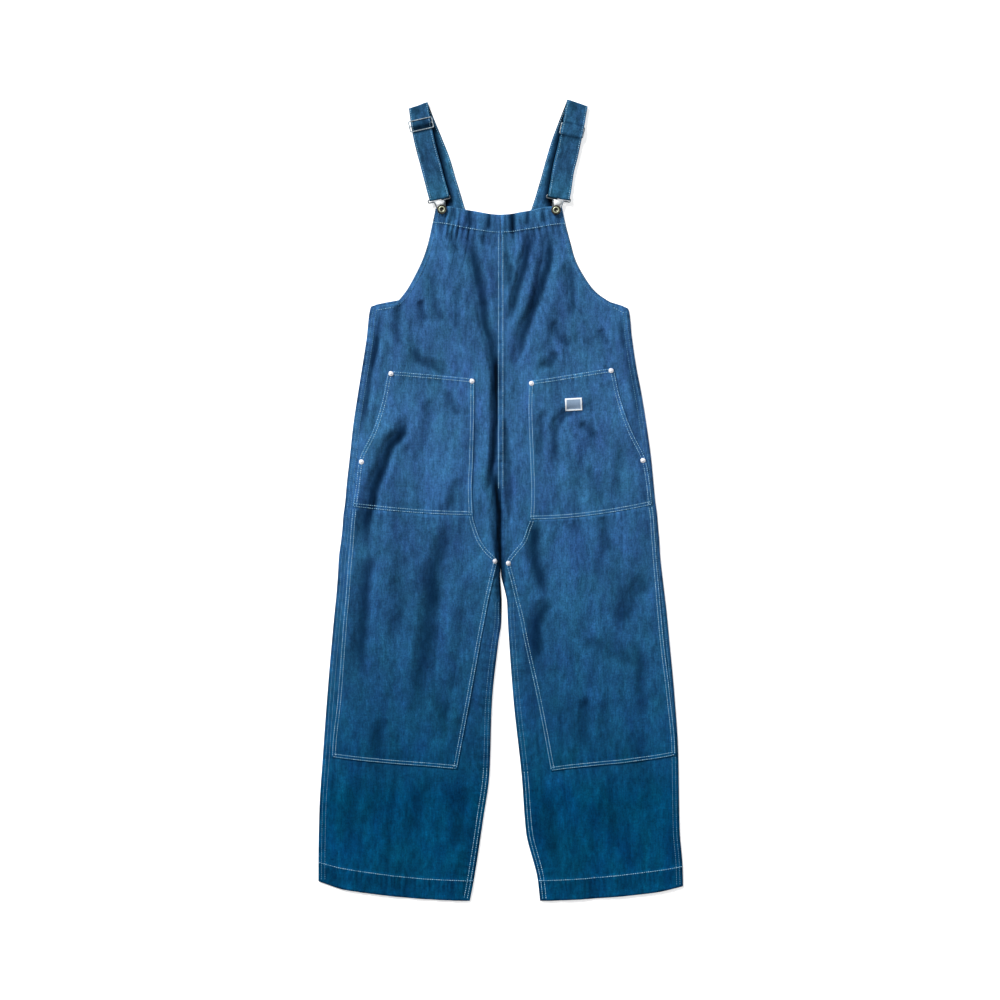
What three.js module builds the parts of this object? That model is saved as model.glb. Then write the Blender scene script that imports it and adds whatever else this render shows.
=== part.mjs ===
// Denim dungarees lying flat on a surface, front up, with both straps folded over and clipped on.
// Millimetres. X runs across, with the wearer's left at +X. Y runs from the hems up to the straps.
// Z points up off the surface, and the origin is under the middle of the whole outline.
import * as THREE from 'three';

// Cloth
const CLOTH = 1.2;
const STRAP_CLOTH = 1.5;
const SEAM_GAP = 0.3;
// A turned hem is this much thicker than the single cloth, and steps up over this length.
const HEM_EXTRA = 0.9;
const HEM_STEP = 2;

// How the layers lie: heights of undersides above the surface
const EDGE_LIFT = 0.9;
const EDGE_ROLL = 6;
const FRONT_AT_SEAM = EDGE_LIFT + CLOTH + SEAM_GAP;
const FRONT_FIELD = 4.4;
const FRONT_FIELD_AT_HEM = 3.4;
const SEAM_SOFT = 20;
const FREE_EDGE_SOFT = 30;
const ON_BACK = CLOTH + SEAM_GAP;
const ON_STRAP = STRAP_CLOTH + SEAM_GAP;
const ON_BACK_AND_STRAP = ON_BACK + STRAP_CLOTH + SEAM_GAP;
// The stretch of the straps that is sewn on the back: half its width across, and its ends along Y.
const STRAP_ZONE = { half: 68, from: 352, to: 412, soft: 14 };

// Hardware
const BUTTON_RADIUS = 8.5;
const BUTTON_HEAD = 2.8;
const SHANK_RADIUS = 2.75;
const RIVET_RADIUS = 4.4;
const SLIDER = { outer: 43, pitch: 9.2, bar: 2, bevel: 0.4 };
// The clip's wire turns in at its shoulder, below the strap's loop, to a narrow neck over the button.
const CLIP = { wire: 1.2, z: 6.3, corner: 1.8, shoulder: 5.2, neck: 9, waist: 7.6 };
const LABEL = { x: 127.75, y: 167, width: 29.5, height: 22, tilt: 3, cloth: 0.8 };

// Mesh sizes
const ROW_STEP = 52;
const IN_COLUMNS = [0, 0.12, 0.4, 0.7];
const PATCH_CELLS = 10;
const OUT_COLUMNS = [0, 0.25, 0.5, 0.72, 0.88, 1];
const BACK_STEP = 52;

// The whole outline's middle, which the group is moved by.
const MIDDLE = { x: 0.5, y: -0.15 };

// A front panel's rows from hem to bib top. Columns: in is at the inseam or the centre seam, near and
// far are the inner and outer sides of the pocket and knee patch, out is at the side seam or armhole.
const RIGHT_ROWS = [
  { row: 'hem', in: [-53.5, -701], near: [-113, -699], far: [-272, -681.8], out: [-318.5, -667] },
  { row: 'hemStitch', in: [-46.5, -664.5], near: [-109.5, -662.5], far: [-270.5, -644], out: [-318.5, -632] },
  { row: 'lowerLeg', in: [-30.5, -560], near: [-93, -563.5], far: [-281, -553], out: [-317, -546] },
  { row: 'kneeBottom', in: [-19, -476], near: [-75.6, -470.8], far: [-295, -449.6], out: [-310.5, -444] },
  { row: 'shin', in: [-15, -357], near: [-52.8, -350], far: [-285.2, -345], out: [-303, -341] },
  { row: 'knee', in: [-3.5, -248.5], near: [-33.8, -245], far: [-277.2, -240], out: [-294, -236] },
  { row: 'thighLow', in: [1.6, -212], near: [-26.8, -208], far: [-274.5, -204], out: [-290.5, -199] },
  { row: 'thigh', in: [2.1, -178.5], near: [-20.6, -175], far: [-271.2, -170], out: [-287, -164.5] },
  { row: 'parting', in: [-0.5, -131], near: [-12, -137], far: [-269, -137], out: [-284.5, -131] },
  { row: 'crotch', in: [0, -112], near: [-5.4, -106], far: [-266.7, -105], out: [-282.5, -98] },
  { row: 'kneeCurve', in: [0, -101.5], near: [-22.2, -87], far: [-264.2, -80.5], out: [-279, -72] },
  { row: 'kneeArc', in: [0, -73.5], near: [-34.6, -69], far: [-262.7, -58], out: [-276.5, -49] },
  { row: 'kneeTop', in: [0, -45.5], near: [-42.9, -47], far: [-260.9, -35], out: [-275, -28] },
  { row: 'pocketBottom', in: [0, -20], near: [-47.8, -27], far: [-258.6, -12.3], out: [-272, -6] },
  { row: 'hip', in: [0, 30], near: [-49.5, 23], far: [-253, 28], out: [-268.5, 33] },
  { row: 'slantEnd', in: [0, 70], near: [-47.5, 66.5], far: [-248.5, 66.5], out: [-264, 72] },
  { row: 'seat', in: [0, 121], near: [-46.2, 119], far: [-223, 122.5], out: [-258, 128] },
  { row: 'waist', in: [0, 171.5], near: [-45.2, 168], far: [-206.6, 175], out: [-250, 182] },
  { row: 'pocketTop', in: [0, 208], near: [-45.2, 212.6], far: [-196, 226], out: [-242.5, 229] },
  { row: 'belly', in: [0, 257], near: [-50, 264], far: [-174.5, 274], out: [-234.5, 280] },
  { row: 'sideTop', in: [0, 297.5], near: [-55, 305], far: [-160, 320], out: [-226, 338.5] },
  { row: 'armholeLow', in: [0, 325.5], near: [-57, 334], far: [-141, 342], out: [-186.4, 344.4] },
  { row: 'armholeTurn', in: [0, 350], near: [-57.5, 357], far: [-132, 363], out: [-167, 363] },
  { row: 'armhole', in: [0, 378], near: [-58, 383], far: [-123.5, 386], out: [-153, 386] },
  { row: 'armholeHigh', in: [0, 411], near: [-57.5, 417], far: [-114.5, 422], out: [-135.2, 423.5] },
  { row: 'bibLow', in: [0, 437], near: [-56.5, 444], far: [-106.5, 449], out: [-126.9, 449] },
  { row: 'bibStitch', in: [0, 467], near: [-55, 474], far: [-99.5, 483], out: [-118.8, 485] },
  { row: 'bibTop', in: [0, 499], near: [-53.5, 506.5], far: [-95.5, 513.5], out: [-113.5, 510] },
];
const LEFT_ROWS = [
  { row: 'hem', in: [69, -701], near: [128.5, -699], far: [267, -687], out: [319.5, -675.5] },
  { row: 'hemStitch', in: [65, -664], near: [125, -662], far: [268.5, -647.5], out: [318.5, -639.5] },
  { row: 'lowerLeg', in: [44.6, -581], near: [107, -586], far: [282.5, -581], out: [313.5, -576] },
  { row: 'kneeBottom', in: [37, -483], near: [87.5, -474], far: [306.2, -446], out: [311, -442] },
  { row: 'shin', in: [23, -353.5], near: [64, -350], far: [297.7, -345], out: [304.5, -343] },
  { row: 'knee', in: [15, -248.5], near: [40.6, -245], far: [285.2, -240], out: [294.5, -236] },
  { row: 'thighLow', in: [12.8, -212], near: [33.4, -208], far: [282, -204], out: [291, -199] },
  { row: 'thigh', in: [11.3, -178.5], near: [25.2, -175], far: [279.2, -170], out: [287, -164.5] },
  { row: 'parting', in: [1, -131], near: [16.5, -138], far: [276.5, -137], out: [283, -131] },
  { row: 'crotch', in: [0, -112], near: [9.6, -109.5], far: [273.7, -105], out: [279.5, -98] },
  { row: 'kneeCurve', in: [0, -101.5], near: [23.6, -88], far: [272.2, -80.5], out: [278, -72] },
  { row: 'kneeArc', in: [0, -73.5], near: [38, -70], far: [270.2, -56], out: [276, -49] },
  { row: 'kneeTop', in: [0, -45.5], near: [46.4, -47], far: [268.7, -30], out: [274, -24.5] },
  { row: 'pocketBottom', in: [0, -25], near: [50.8, -34.7], far: [265.7, -8.8], out: [271, -3] },
  { row: 'hip', in: [0, 23], near: [53, 14], far: [262, 28], out: [267.5, 33] },
  { row: 'slantEnd', in: [0, 66.5], near: [51.6, 59.5], far: [254.6, 69], out: [263.5, 73.5] },
  { row: 'seat', in: [0, 121], near: [49.5, 112], far: [229.3, 122.5], out: [256, 128] },
  { row: 'waist', in: [0, 171.5], near: [48.1, 161], far: [209.5, 178.5], out: [247, 184] },
  { row: 'pocketTop', in: [0, 203], near: [49.5, 208.6], far: [197.8, 231.4], out: [237, 236.5] },
  { row: 'belly', in: [0, 257], near: [51, 260], far: [179.5, 277.5], out: [230, 284.5] },
  { row: 'sideTop', in: [0, 297.5], near: [53.5, 304.5], far: [160, 320], out: [224, 333.5] },
  { row: 'armholeLow', in: [0, 325.5], near: [55, 332.5], far: [144.5, 341], out: [197, 344] },
  { row: 'armholeTurn', in: [0, 350], near: [55, 357], far: [134, 362], out: [168, 363] },
  { row: 'armhole', in: [0, 378], near: [55, 383], far: [122.5, 385], out: [149.5, 386] },
  { row: 'armholeHigh', in: [0, 411], near: [54, 417], far: [112, 422], out: [130.2, 422.5] },
  { row: 'bibLow', in: [0, 437], near: [53.5, 444], far: [104, 448], out: [123, 448] },
  { row: 'bibStitch', in: [0, 467], near: [51.5, 473.5], far: [95, 481], out: [113.8, 483] },
  { row: 'bibTop', in: [0, 499], near: [50, 506], far: [85, 513], out: [107.5, 513] },
];

// The back's rows above the side seams, up to its straight top where the straps are sewn on. The back
// shares the front's side seams, inseams and hems below them.
const BACK_TOP_ROWS = [
  { in: 322, out: [182, 349] },
  { in: 345, out: [136, 359] },
  { in: 369, out: [94, 374] },
  { in: 395, out: [62, 395] },
];

// The largest folds. Each runs from one point to another, bows to +X by that much when it runs down,
// and is a Gaussian of that half width. A height below nought is a trough.
const FOLDS = [
  { from: [-62, 458], to: [-6, 210], bow: 7, half: 9, height: -4.2 },
  { from: [-40, 440], to: [-14, 250], bow: 9, half: 9, height: 2 },
  { from: [-98, 440], to: [-44, 230], bow: -4, half: 13, height: 2.2 },
  { from: [-141, 350], to: [-127, 306], bow: 0, half: 7, height: -1.5 },
  { from: [-155, 271], to: [-92, 213], bow: -8, half: 8, height: -2 },
  { from: [-176, 350], to: [-179, 262], bow: 0, half: 8, height: -1.5 },
  { from: [-214, 290], to: [-225, 225], bow: 0, half: 7, height: -1.5 },
  { from: [-162, 136], to: [-235, -105], bow: -15, half: 12, height: -4.2 },
  { from: [-235, -105], to: [-246, -332], bow: 3, half: 12, height: -3 },
  { from: [-150, 110], to: [-205, -260], bow: -6, half: 17, height: 2 },
  { from: [-24, 192], to: [-22, 35], bow: 0, half: 9, height: 2 },
  { from: [-9, 180], to: [-24, -20], bow: 0, half: 6, height: -2.4 },
  { from: [-74, -32], to: [-155, -411], bow: -12, half: 14, height: -2.8 },
  { from: [-60, -110], to: [-100, -370], bow: -4, half: 17, height: 1.6 },
  { from: [-123, -472], to: [-162, -595], bow: 0, half: 12, height: -1.8 },
  { from: [-215, -470], to: [-225, -640], bow: 0, half: 24, height: 1.2 },
  { from: [45, 458], to: [17, 289], bow: 0, half: 8, height: -2.6 },
  { from: [69, 440], to: [34, 297], bow: 2, half: 9, height: 2 },
  { from: [92, 416], to: [17, 213], bow: 0, half: 9, height: -3.4 },
  { from: [118, 400], to: [60, 225], bow: 4, half: 12, height: 2 },
  { from: [120, 416], to: [127, 311], bow: 0, half: 8, height: -1.8 },
  { from: [92, 315], to: [130, 266], bow: -4, half: 8, height: -1.8 },
  { from: [95, 70], to: [112, 148], bow: 0, half: 8, height: -1.8 },
  { from: [57, -35], to: [84, -172], bow: -8, half: 11, height: -4.2 },
  { from: [87, -175], to: [62, -285], bow: -8, half: 11, height: -3.2 },
  { from: [118, -50], to: [128, -300], bow: 4, half: 19, height: 2 },
  { from: [178, -26], to: [195, -98], bow: 0, half: 9, height: -1.8 },
  { from: [258, -131], to: [195, -224], bow: 0, half: 15, height: -2 },
  { from: [225, 20], to: [222, -190], bow: 0, half: 18, height: 1.3 },
  { from: [105, -470], to: [165, -640], bow: 0, half: 26, height: 1.4 },
];

// The straps, for the wearer's right and left. Columns: x and y are on the band's middle line, and
// tilt is how far its width is turned from X, in degrees. The front leg runs from the outside of the
// fold on the shoulder to the outside of the loop round the clip. The back leg's first row is sewn on.
// The slider is at a row, its wires at a height, and the band swells over it for that far each way. The
// left one lies lower, so that the band covers its outer bars.
const RIGHT_STRAP = {
  side: 'right',
  width: 35,
  slider: { row: 1, z: 6.8, swell: SLIDER.pitch },
  front: [
    { x: -144.5, y: 690.5, tilt: 19 },
    { x: -139, y: 656, tilt: 12.5 },
    { x: -129.5, y: 612.5, tilt: 14.5 },
    { x: -121.5, y: 583.5, tilt: 14.5 },
    { x: -114.5, y: 554.5, tilt: 13.5 },
    { x: -107.4, y: 524.8, tilt: 13 },
  ],
  back: [
    { x: -31, y: 367.5, tilt: 18.6 },
    { x: -42.5, y: 395, tilt: 18.6 },
    { x: -80, y: 507, tilt: 18.6 },
    { x: -106, y: 592.5, tilt: 18.6 },
  ],
  button: [-102.5, 507.5],
};
const LEFT_STRAP = {
  side: 'left',
  width: 38,
  slider: { row: 1, z: 4.95, swell: 22 },
  front: [
    { x: 134.7, y: 694.7, tilt: -18.8 },
    { x: 125.5, y: 646, tilt: -12 },
    { x: 118.3, y: 612.5, tilt: -11.5 },
    { x: 110.3, y: 577.5, tilt: -10.5 },
    { x: 106.2, y: 551.3, tilt: -10.5 },
    { x: 101.2, y: 526.3, tilt: -11 },
  ],
  back: [
    { x: 31.5, y: 367.5, tilt: -17.5 },
    { x: 39, y: 395, tilt: -17.5 },
    { x: 73.7, y: 505.4, tilt: -17.5 },
    { x: 102.6, y: 607, tilt: -17.5 },
  ],
  button: [97, 506.5],
};

// The band's heights, on its middle layer
const BAND_ON_SURFACE = STRAP_CLOTH / 2;
const BAND_ON_BACK = ON_BACK + STRAP_CLOTH / 2;
const BAND_LOWER = 2.95;
const BAND_UPPER = 4.75;
const FOLD_RADIUS = (BAND_UPPER - BAND_ON_SURFACE) / 2;
const LOOP_RADIUS = CLIP.wire + 0.4 + STRAP_CLOTH / 2;
const WRAP_RADIUS = 2.2;
const OVER_BAR = WRAP_RADIUS + STRAP_CLOTH + 0.35;
// The two layers part over this length above the clip, and the lower one rises to its bar over this.
const LOOP_SOFT = 16;
const BAR_RISE = 8;
const LEAVES_BACK = { from: 403, to: 412 };

const DENIM = { color: 0x2c5a84, roughness: 0.9, metalness: 0 };
const STRAP_DENIM = { color: 0x275076, roughness: 0.9, metalness: 0 };
const STEEL = { color: 0xc9cbc8, roughness: 0.3, metalness: 0.9 };
const BRONZE = { color: 0x8f8a6c, roughness: 0.4, metalness: 0.9 };
const RIVET_METAL = { color: 0xd8d4c6, roughness: 0.35, metalness: 0.9 };
const LABEL_CLOTH = { color: 0xe6e9ee, roughness: 0.8, metalness: 0 };

const garment = new THREE.Group();

function addPiece(name, geometry, finish) {
  geometry.computeVertexNormals();
  const mesh = new THREE.Mesh(geometry, new THREE.MeshStandardMaterial(finish));
  mesh.name = name;
  garment.add(mesh);
  return mesh;
}

// Steps smoothly from nought to one.
const ease = (t) => THREE.MathUtils.smoothstep(t, 0, 1);
const mix = THREE.MathUtils.lerp;

// A smooth curve through values at rising stops, which never overshoots them.
function curveThrough(stops, values) {
  const slopes = values.slice(1).map((v, i) => (v - values[i]) / (stops[i + 1] - stops[i]));
  const tangents = values.map((_, i) => {
    if (i === 0) return slopes[0];
    if (i === values.length - 1) return slopes[i - 1];
    const [a, b] = [slopes[i - 1], slopes[i]];
    return a * b <= 0 ? 0 : (2 * a * b) / (a + b);
  });
  return (t) => {
    let i = stops.findIndex((s) => s > t) - 1;
    if (i < 0) i = t <= stops[0] ? 0 : stops.length - 2;
    const gap = stops[i + 1] - stops[i];
    const u = (t - stops[i]) / gap;
    const from = values[i] * (1 + 2 * u) * (1 - u) ** 2 + gap * tangents[i] * u * (1 - u) ** 2;
    const to = values[i + 1] * u * u * (3 - 2 * u) - gap * tangents[i + 1] * u * u * (1 - u);
    return from + to;
  };
}

// A closed wall from a grid of its underside's points, with its thickness at each point.
function wall(grid) {
  const rows = grid.length;
  const columns = grid[0].length;
  const positions = [];
  for (const top of [false, true]) {
    for (const line of grid) {
      for (const p of line) positions.push(p.x, p.y, top ? p.z + p.thick : p.z);
    }
  }
  const at = (i, j, top) => (top ? rows * columns : 0) + i * columns + j;
  const triangles = [];
  const quad = (a, b, c, d) => triangles.push(a, b, c, a, c, d);
  for (let i = 0; i < rows - 1; i += 1) {
    for (let j = 0; j < columns - 1; j += 1) {
      quad(at(i, j, true), at(i, j + 1, true), at(i + 1, j + 1, true), at(i + 1, j, true));
      quad(at(i, j, false), at(i + 1, j, false), at(i + 1, j + 1, false), at(i, j + 1, false));
    }
  }
  for (let j = 0; j < columns - 1; j += 1) {
    quad(at(0, j, false), at(0, j + 1, false), at(0, j + 1, true), at(0, j, true));
    const k = rows - 1;
    quad(at(k, j + 1, false), at(k, j, false), at(k, j, true), at(k, j + 1, true));
  }
  for (let i = 0; i < rows - 1; i += 1) {
    quad(at(i + 1, 0, false), at(i, 0, false), at(i, 0, true), at(i + 1, 0, true));
    const k = columns - 1;
    quad(at(i, k, false), at(i + 1, k, false), at(i + 1, k, true), at(i, k, true));
  }
  // A grid whose columns run to -X has its faces the other way round.
  const mirrored = grid[0][columns - 1].x < grid[0][0].x;
  return meshOf(positions, mirrored ? triangles.reverse() : triangles);
}

function meshOf(positions, triangles) {
  const geometry = new THREE.BufferGeometry();
  geometry.setAttribute('position', new THREE.Float32BufferAttribute(positions, 3));
  geometry.setIndex(triangles);
  return geometry;
}

// A closed body through rings of points, capped at both ends or joined into a loop.
function loft(rings, looped = false) {
  const n = rings[0].length;
  const positions = rings.flat().flatMap((p) => [p.x, p.y, p.z]);
  const triangles = [];
  const spans = looped ? rings.length : rings.length - 1;
  for (let i = 0; i < spans; i += 1) {
    const [a, b] = [i * n, ((i + 1) % rings.length) * n];
    for (let j = 0; j < n; j += 1) {
      const k = (j + 1) % n;
      triangles.push(a + j, a + k, b + k, a + j, b + k, b + j);
    }
  }
  if (!looped) {
    const last = (rings.length - 1) * n;
    for (let j = 1; j < n - 1; j += 1) {
      triangles.push(0, j + 1, j, last, last + j, last + j + 1);
    }
  }
  return meshOf(positions, triangles);
}

// How far the folds raise or lower the cloth at a point.
function foldHeight(x, y) {
  let height = 0;
  for (const fold of FOLDS) {
    const [dx, dy] = [fold.to[0] - fold.from[0], fold.to[1] - fold.from[1]];
    const length = Math.hypot(dx, dy);
    const [px, py] = [x - fold.from[0], y - fold.from[1]];
    const along = (px * dx + py * dy) / length ** 2;
    if (along <= 0 || along >= 1) continue;
    const across = (py * dx - px * dy) / length - fold.bow * 4 * along * (1 - along);
    const taper = ease(Math.min(along, 1 - along) / 0.3);
    height += fold.height * taper * Math.exp(-((across / fold.half) ** 2));
  }
  return height;
}

// The lowest that the front's underside may lie, clear of the back and of the straps.
function lowestFront(x, y) {
  const zone = STRAP_ZONE;
  const beside = ease((zone.half + zone.soft - Math.abs(x)) / zone.soft);
  const above = ease((y - zone.from + zone.soft) / zone.soft);
  const below = ease((zone.to + zone.soft - y) / zone.soft);
  const plain = mix(ON_BACK, ON_STRAP, above);
  return mix(plain, ON_BACK_AND_STRAP, beside * Math.min(above, below));
}

function frontUnderside(x, y, toSeam, toInseam, toTop) {
  const field = mix(FRONT_FIELD_AT_HEM, FRONT_FIELD, ease((y + 700) / 500));
  const rise = ease(toSeam / SEAM_SOFT) * ease(toInseam / SEAM_SOFT);
  const flat = mix(FRONT_AT_SEAM, field, rise * ease(toTop / FREE_EDGE_SOFT));
  return Math.max(flat + foldHeight(x, y) * rise * ease(toTop / FREE_EDGE_SOFT), lowestFront(x, y));
}

const COLUMNS = ['in', 'near', 'far', 'out'];
const meanY = (row) => COLUMNS.reduce((sum, c) => sum + row[c][1], 0) / 4;

// The rows of a front panel at any level, worked out from its table.
function levelsOf(rows, step) {
  const stops = rows.map(meanY);
  const curves = COLUMNS.map((c) => [0, 1].map((k) => curveThrough(stops, rows.map((r) => r[c][k]))));
  const levels = [];
  const index = {};
  rows.forEach((row, i) => {
    index[row.row] = levels.length;
    levels.push(stops[i]);
    if (i === rows.length - 1) return;
    const from = row.row === 'hemStitch' ? stops[i] + HEM_STEP : stops[i];
    const to = rows[i + 1].row === 'bibStitch' ? stops[i + 1] - HEM_STEP : stops[i + 1];
    const cells = Math.ceil((to - from) / step);
    for (let k = from === stops[i] ? 1 : 0; k < cells; k += 1) levels.push(from + ((to - from) * k) / cells);
    if (to !== stops[i + 1]) levels.push(to);
  });
  const pointsAt = (t) => curves.map(([x, y]) => [x(t), y(t)]);
  return { levels, index, pointsAt };
}

// The column places of a row: which of its four points, and how far on to the next.
const PLACES = [
  ...IN_COLUMNS.map((u) => [0, u]),
  ...Array.from({ length: PATCH_CELLS }, (_, k) => [1, k / PATCH_CELLS]),
  ...OUT_COLUMNS.map((u) => [2, u]),
];
const PATCH_FROM = IN_COLUMNS.length;
const PATCH_TO = PATCH_FROM + PATCH_CELLS;

function frontGrid(rows, sign) {
  const { levels, index, pointsAt } = levelsOf(rows, ROW_STEP);
  const parting = levels[index.parting];
  const top = levels[levels.length - 1];
  const grid = levels.map((t, i) => {
    const points = pointsAt(t);
    const start = points[0][0];
    const across = points.map((p) => Math.abs(p[0] - start));
    // Each row starts level, so that the two sides meet smoothly at the centre front.
    const rowY = curveThrough([-across[1], ...across], [points[1][1], ...points.map((p) => p[1])]);
    const hemmed = i <= index.hemStitch || i >= index.bibStitch;
    return PLACES.map(([k, u]) => {
      const distance = mix(across[k], across[k + 1], u);
      const x = start + sign * distance;
      const y = rowY(distance);
      const toInseam = distance + SEAM_SOFT * ease((t - parting) / ROW_STEP);
      const z = frontUnderside(x, y, across[3] - distance, toInseam, top - t);
      const gap = t > parting ? sign * SEAM_GAP / 2 : 0;
      const thick = CLOTH + (hemmed ? HEM_EXTRA : 0);
      return { x: x + gap * (1 - Math.min(distance / SEAM_SOFT, 1)), y, z, thick };
    });
  });
  return { grid, index };
}

// A patch on a front panel, from the panel's own points between two rows, moved out.
function patchGrid(front, fromRow, toRow) {
  const rows = front.grid.slice(front.index[fromRow], front.index[toRow] + 1);
  return rows.map((line, i) => line.slice(PATCH_FROM, PATCH_TO + 1).map((p) => {
    const inset = i === 0 ? SEAM_GAP / 2 : i === rows.length - 1 ? -SEAM_GAP / 2 : 0;
    return { x: p.x, y: p.y + inset, z: p.z + p.thick + SEAM_GAP, thick: CLOTH };
  }));
}

function backGrid(rows, sign) {
  const parting = rows.find((r) => r.row === 'parting');
  const seamed = rows.slice(0, rows.findIndex((r) => r.row === 'sideTop') + 1);
  const outline = [
    ...seamed.map((r) => ({ in: r.in, out: r.out, seamed: true, leg: meanY(r) <= meanY(parting) })),
    ...BACK_TOP_ROWS.map((r) => ({ in: [0, r.in], out: [sign * r.out[0], r.out[1]], seamed: false, leg: false })),
  ];
  const stops = outline.map((r) => (r.in[1] + r.out[1]) / 2);
  const curve = (end, k) => curveThrough(stops, outline.map((r) => r[end][k]));
  const ends = { in: [curve('in', 0), curve('in', 1)], out: [curve('out', 0), curve('out', 1)] };
  const lift = { side: curveThrough(stops, outline.map((r) => (r.seamed ? EDGE_LIFT : 0))),
    inseam: curveThrough(stops, outline.map((r) => (r.leg ? EDGE_LIFT : 0))) };
  const levels = stops.flatMap((t, i) => {
    if (i === stops.length - 1) return [t];
    const cells = Math.ceil((stops[i + 1] - t) / BACK_STEP);
    return Array.from({ length: cells }, (_, k) => mix(t, stops[i + 1], k / cells));
  });
  return levels.map((t) => {
    const from = ends.in.map((f) => f(t));
    const to = ends.out.map((f) => f(t));
    const width = Math.abs(to[0] - from[0]);
    const insets = [0, EDGE_ROLL, ...[0.25, 0.5, 0.75].map((u) => mix(EDGE_ROLL, width - EDGE_ROLL, u)),
      width - EDGE_ROLL, width];
    return insets.map((inset, j) => {
      const seamed = t > stops[rows.indexOf(parting)];
      const gap = seamed ? SEAM_GAP / 2 * (1 - Math.min(inset / EDGE_ROLL, 1)) : 0;
      const edge = j === 0 ? lift.inseam(t) : j === insets.length - 1 ? lift.side(t) : 0;
      return {
        x: from[0] + sign * (inset + gap),
        y: mix(from[1], to[1], inset / width),
        z: edge,
        thick: CLOTH,
      };
    });
  });
}

// Where a piece of that radius sits on the meshes below it: a plane just clear of their highest spots.
function seatOn(meshes, x, y, radius) {
  const heights = [[0, 0]];
  const around = 8;
  for (let k = 0; k < around; k += 1) {
    const angle = (2 * Math.PI * k) / around;
    heights.push([radius * Math.cos(angle), radius * Math.sin(angle)]);
  }
  const samples = heights.map(([dx, dy]) => [dx, dy, heightOn(meshes, x + dx, y + dy)]);
  const rim = samples.slice(1);
  const slope = (k) => (2 / (around * radius ** 2)) * rim.reduce((sum, s) => sum + s[k] * s[2], 0);
  const [sx, sy] = [slope(0), slope(1)];
  const lift = Math.max(...samples.map(([dx, dy, z]) => z - sx * dx - sy * dy));
  return { height: lift + SEAM_GAP, normal: new THREE.Vector3(-sx, -sy, 1).normalize() };
}

function heightOn(meshes, x, y) {
  const ray = new THREE.Raycaster(new THREE.Vector3(x, y, 100), new THREE.Vector3(0, 0, -1));
  const hits = ray.intersectObjects(meshes);
  return hits.length ? hits[0].point.z : 0;
}

// A turned piece standing on the cloth, from its profile of radius and height.
function turned(profile, segments) {
  const points = profile.map(([r, h]) => new THREE.Vector2(r, h));
  const geometry = new THREE.LatheGeometry(points, segments);
  geometry.rotateX(Math.PI / 2);
  return geometry;
}

function addRivet(name, meshes, [x, y]) {
  const seat = seatOn(meshes, x, y, RIVET_RADIUS);
  const profile = [[0, 0], [RIVET_RADIUS, 0], [RIVET_RADIUS, 0.5], [3, 1.3], [1.8, 1.4], [0, 2]];
  const rivet = addPiece(name, turned(profile, 10), RIVET_METAL);
  rivet.position.set(x, y, seat.height);
  rivet.quaternion.setFromUnitVectors(new THREE.Vector3(0, 0, 1), seat.normal);
}

// A strap's middle line along one leg: where it is after a length, and how its width is turned.
function groundPath(rows) {
  const stops = [0];
  rows.slice(1).forEach((r, i) => stops.push(stops[i] + Math.hypot(r.x - rows[i].x, r.y - rows[i].y)));
  const [x, y, tilt] = ['x', 'y', 'tilt'].map((k) => curveThrough(stops, rows.map((r) => r[k])));
  return {
    length: stops[stops.length - 1],
    stops,
    at: (s) => {
      const angle = THREE.MathUtils.degToRad(tilt(s));
      return {
        place: new THREE.Vector3(x(s), y(s), 0),
        across: new THREE.Vector3(Math.cos(angle), Math.sin(angle), 0),
        down: new THREE.Vector3(Math.sin(angle), -Math.cos(angle), 0),
      };
    },
  };
}

// Moves a strap's end row in from the outside of its fold to the fold's own centre.
function moved(row, distance) {
  const angle = THREE.MathUtils.degToRad(row.tilt);
  return { ...row, x: row.x + distance * Math.sin(angle), y: row.y - distance * Math.cos(angle) };
}

function strapFrame(strap) {
  const rows = [...strap.front];
  rows[0] = moved(rows[0], FOLD_RADIUS + STRAP_CLOTH / 2);
  const last = rows.length - 1;
  rows[last] = moved(rows[last], -LOOP_RADIUS - STRAP_CLOTH / 2);
  const path = groundPath(rows);
  return { path, slider: path.stops[strap.slider.row], clip: path.length };
}

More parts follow.
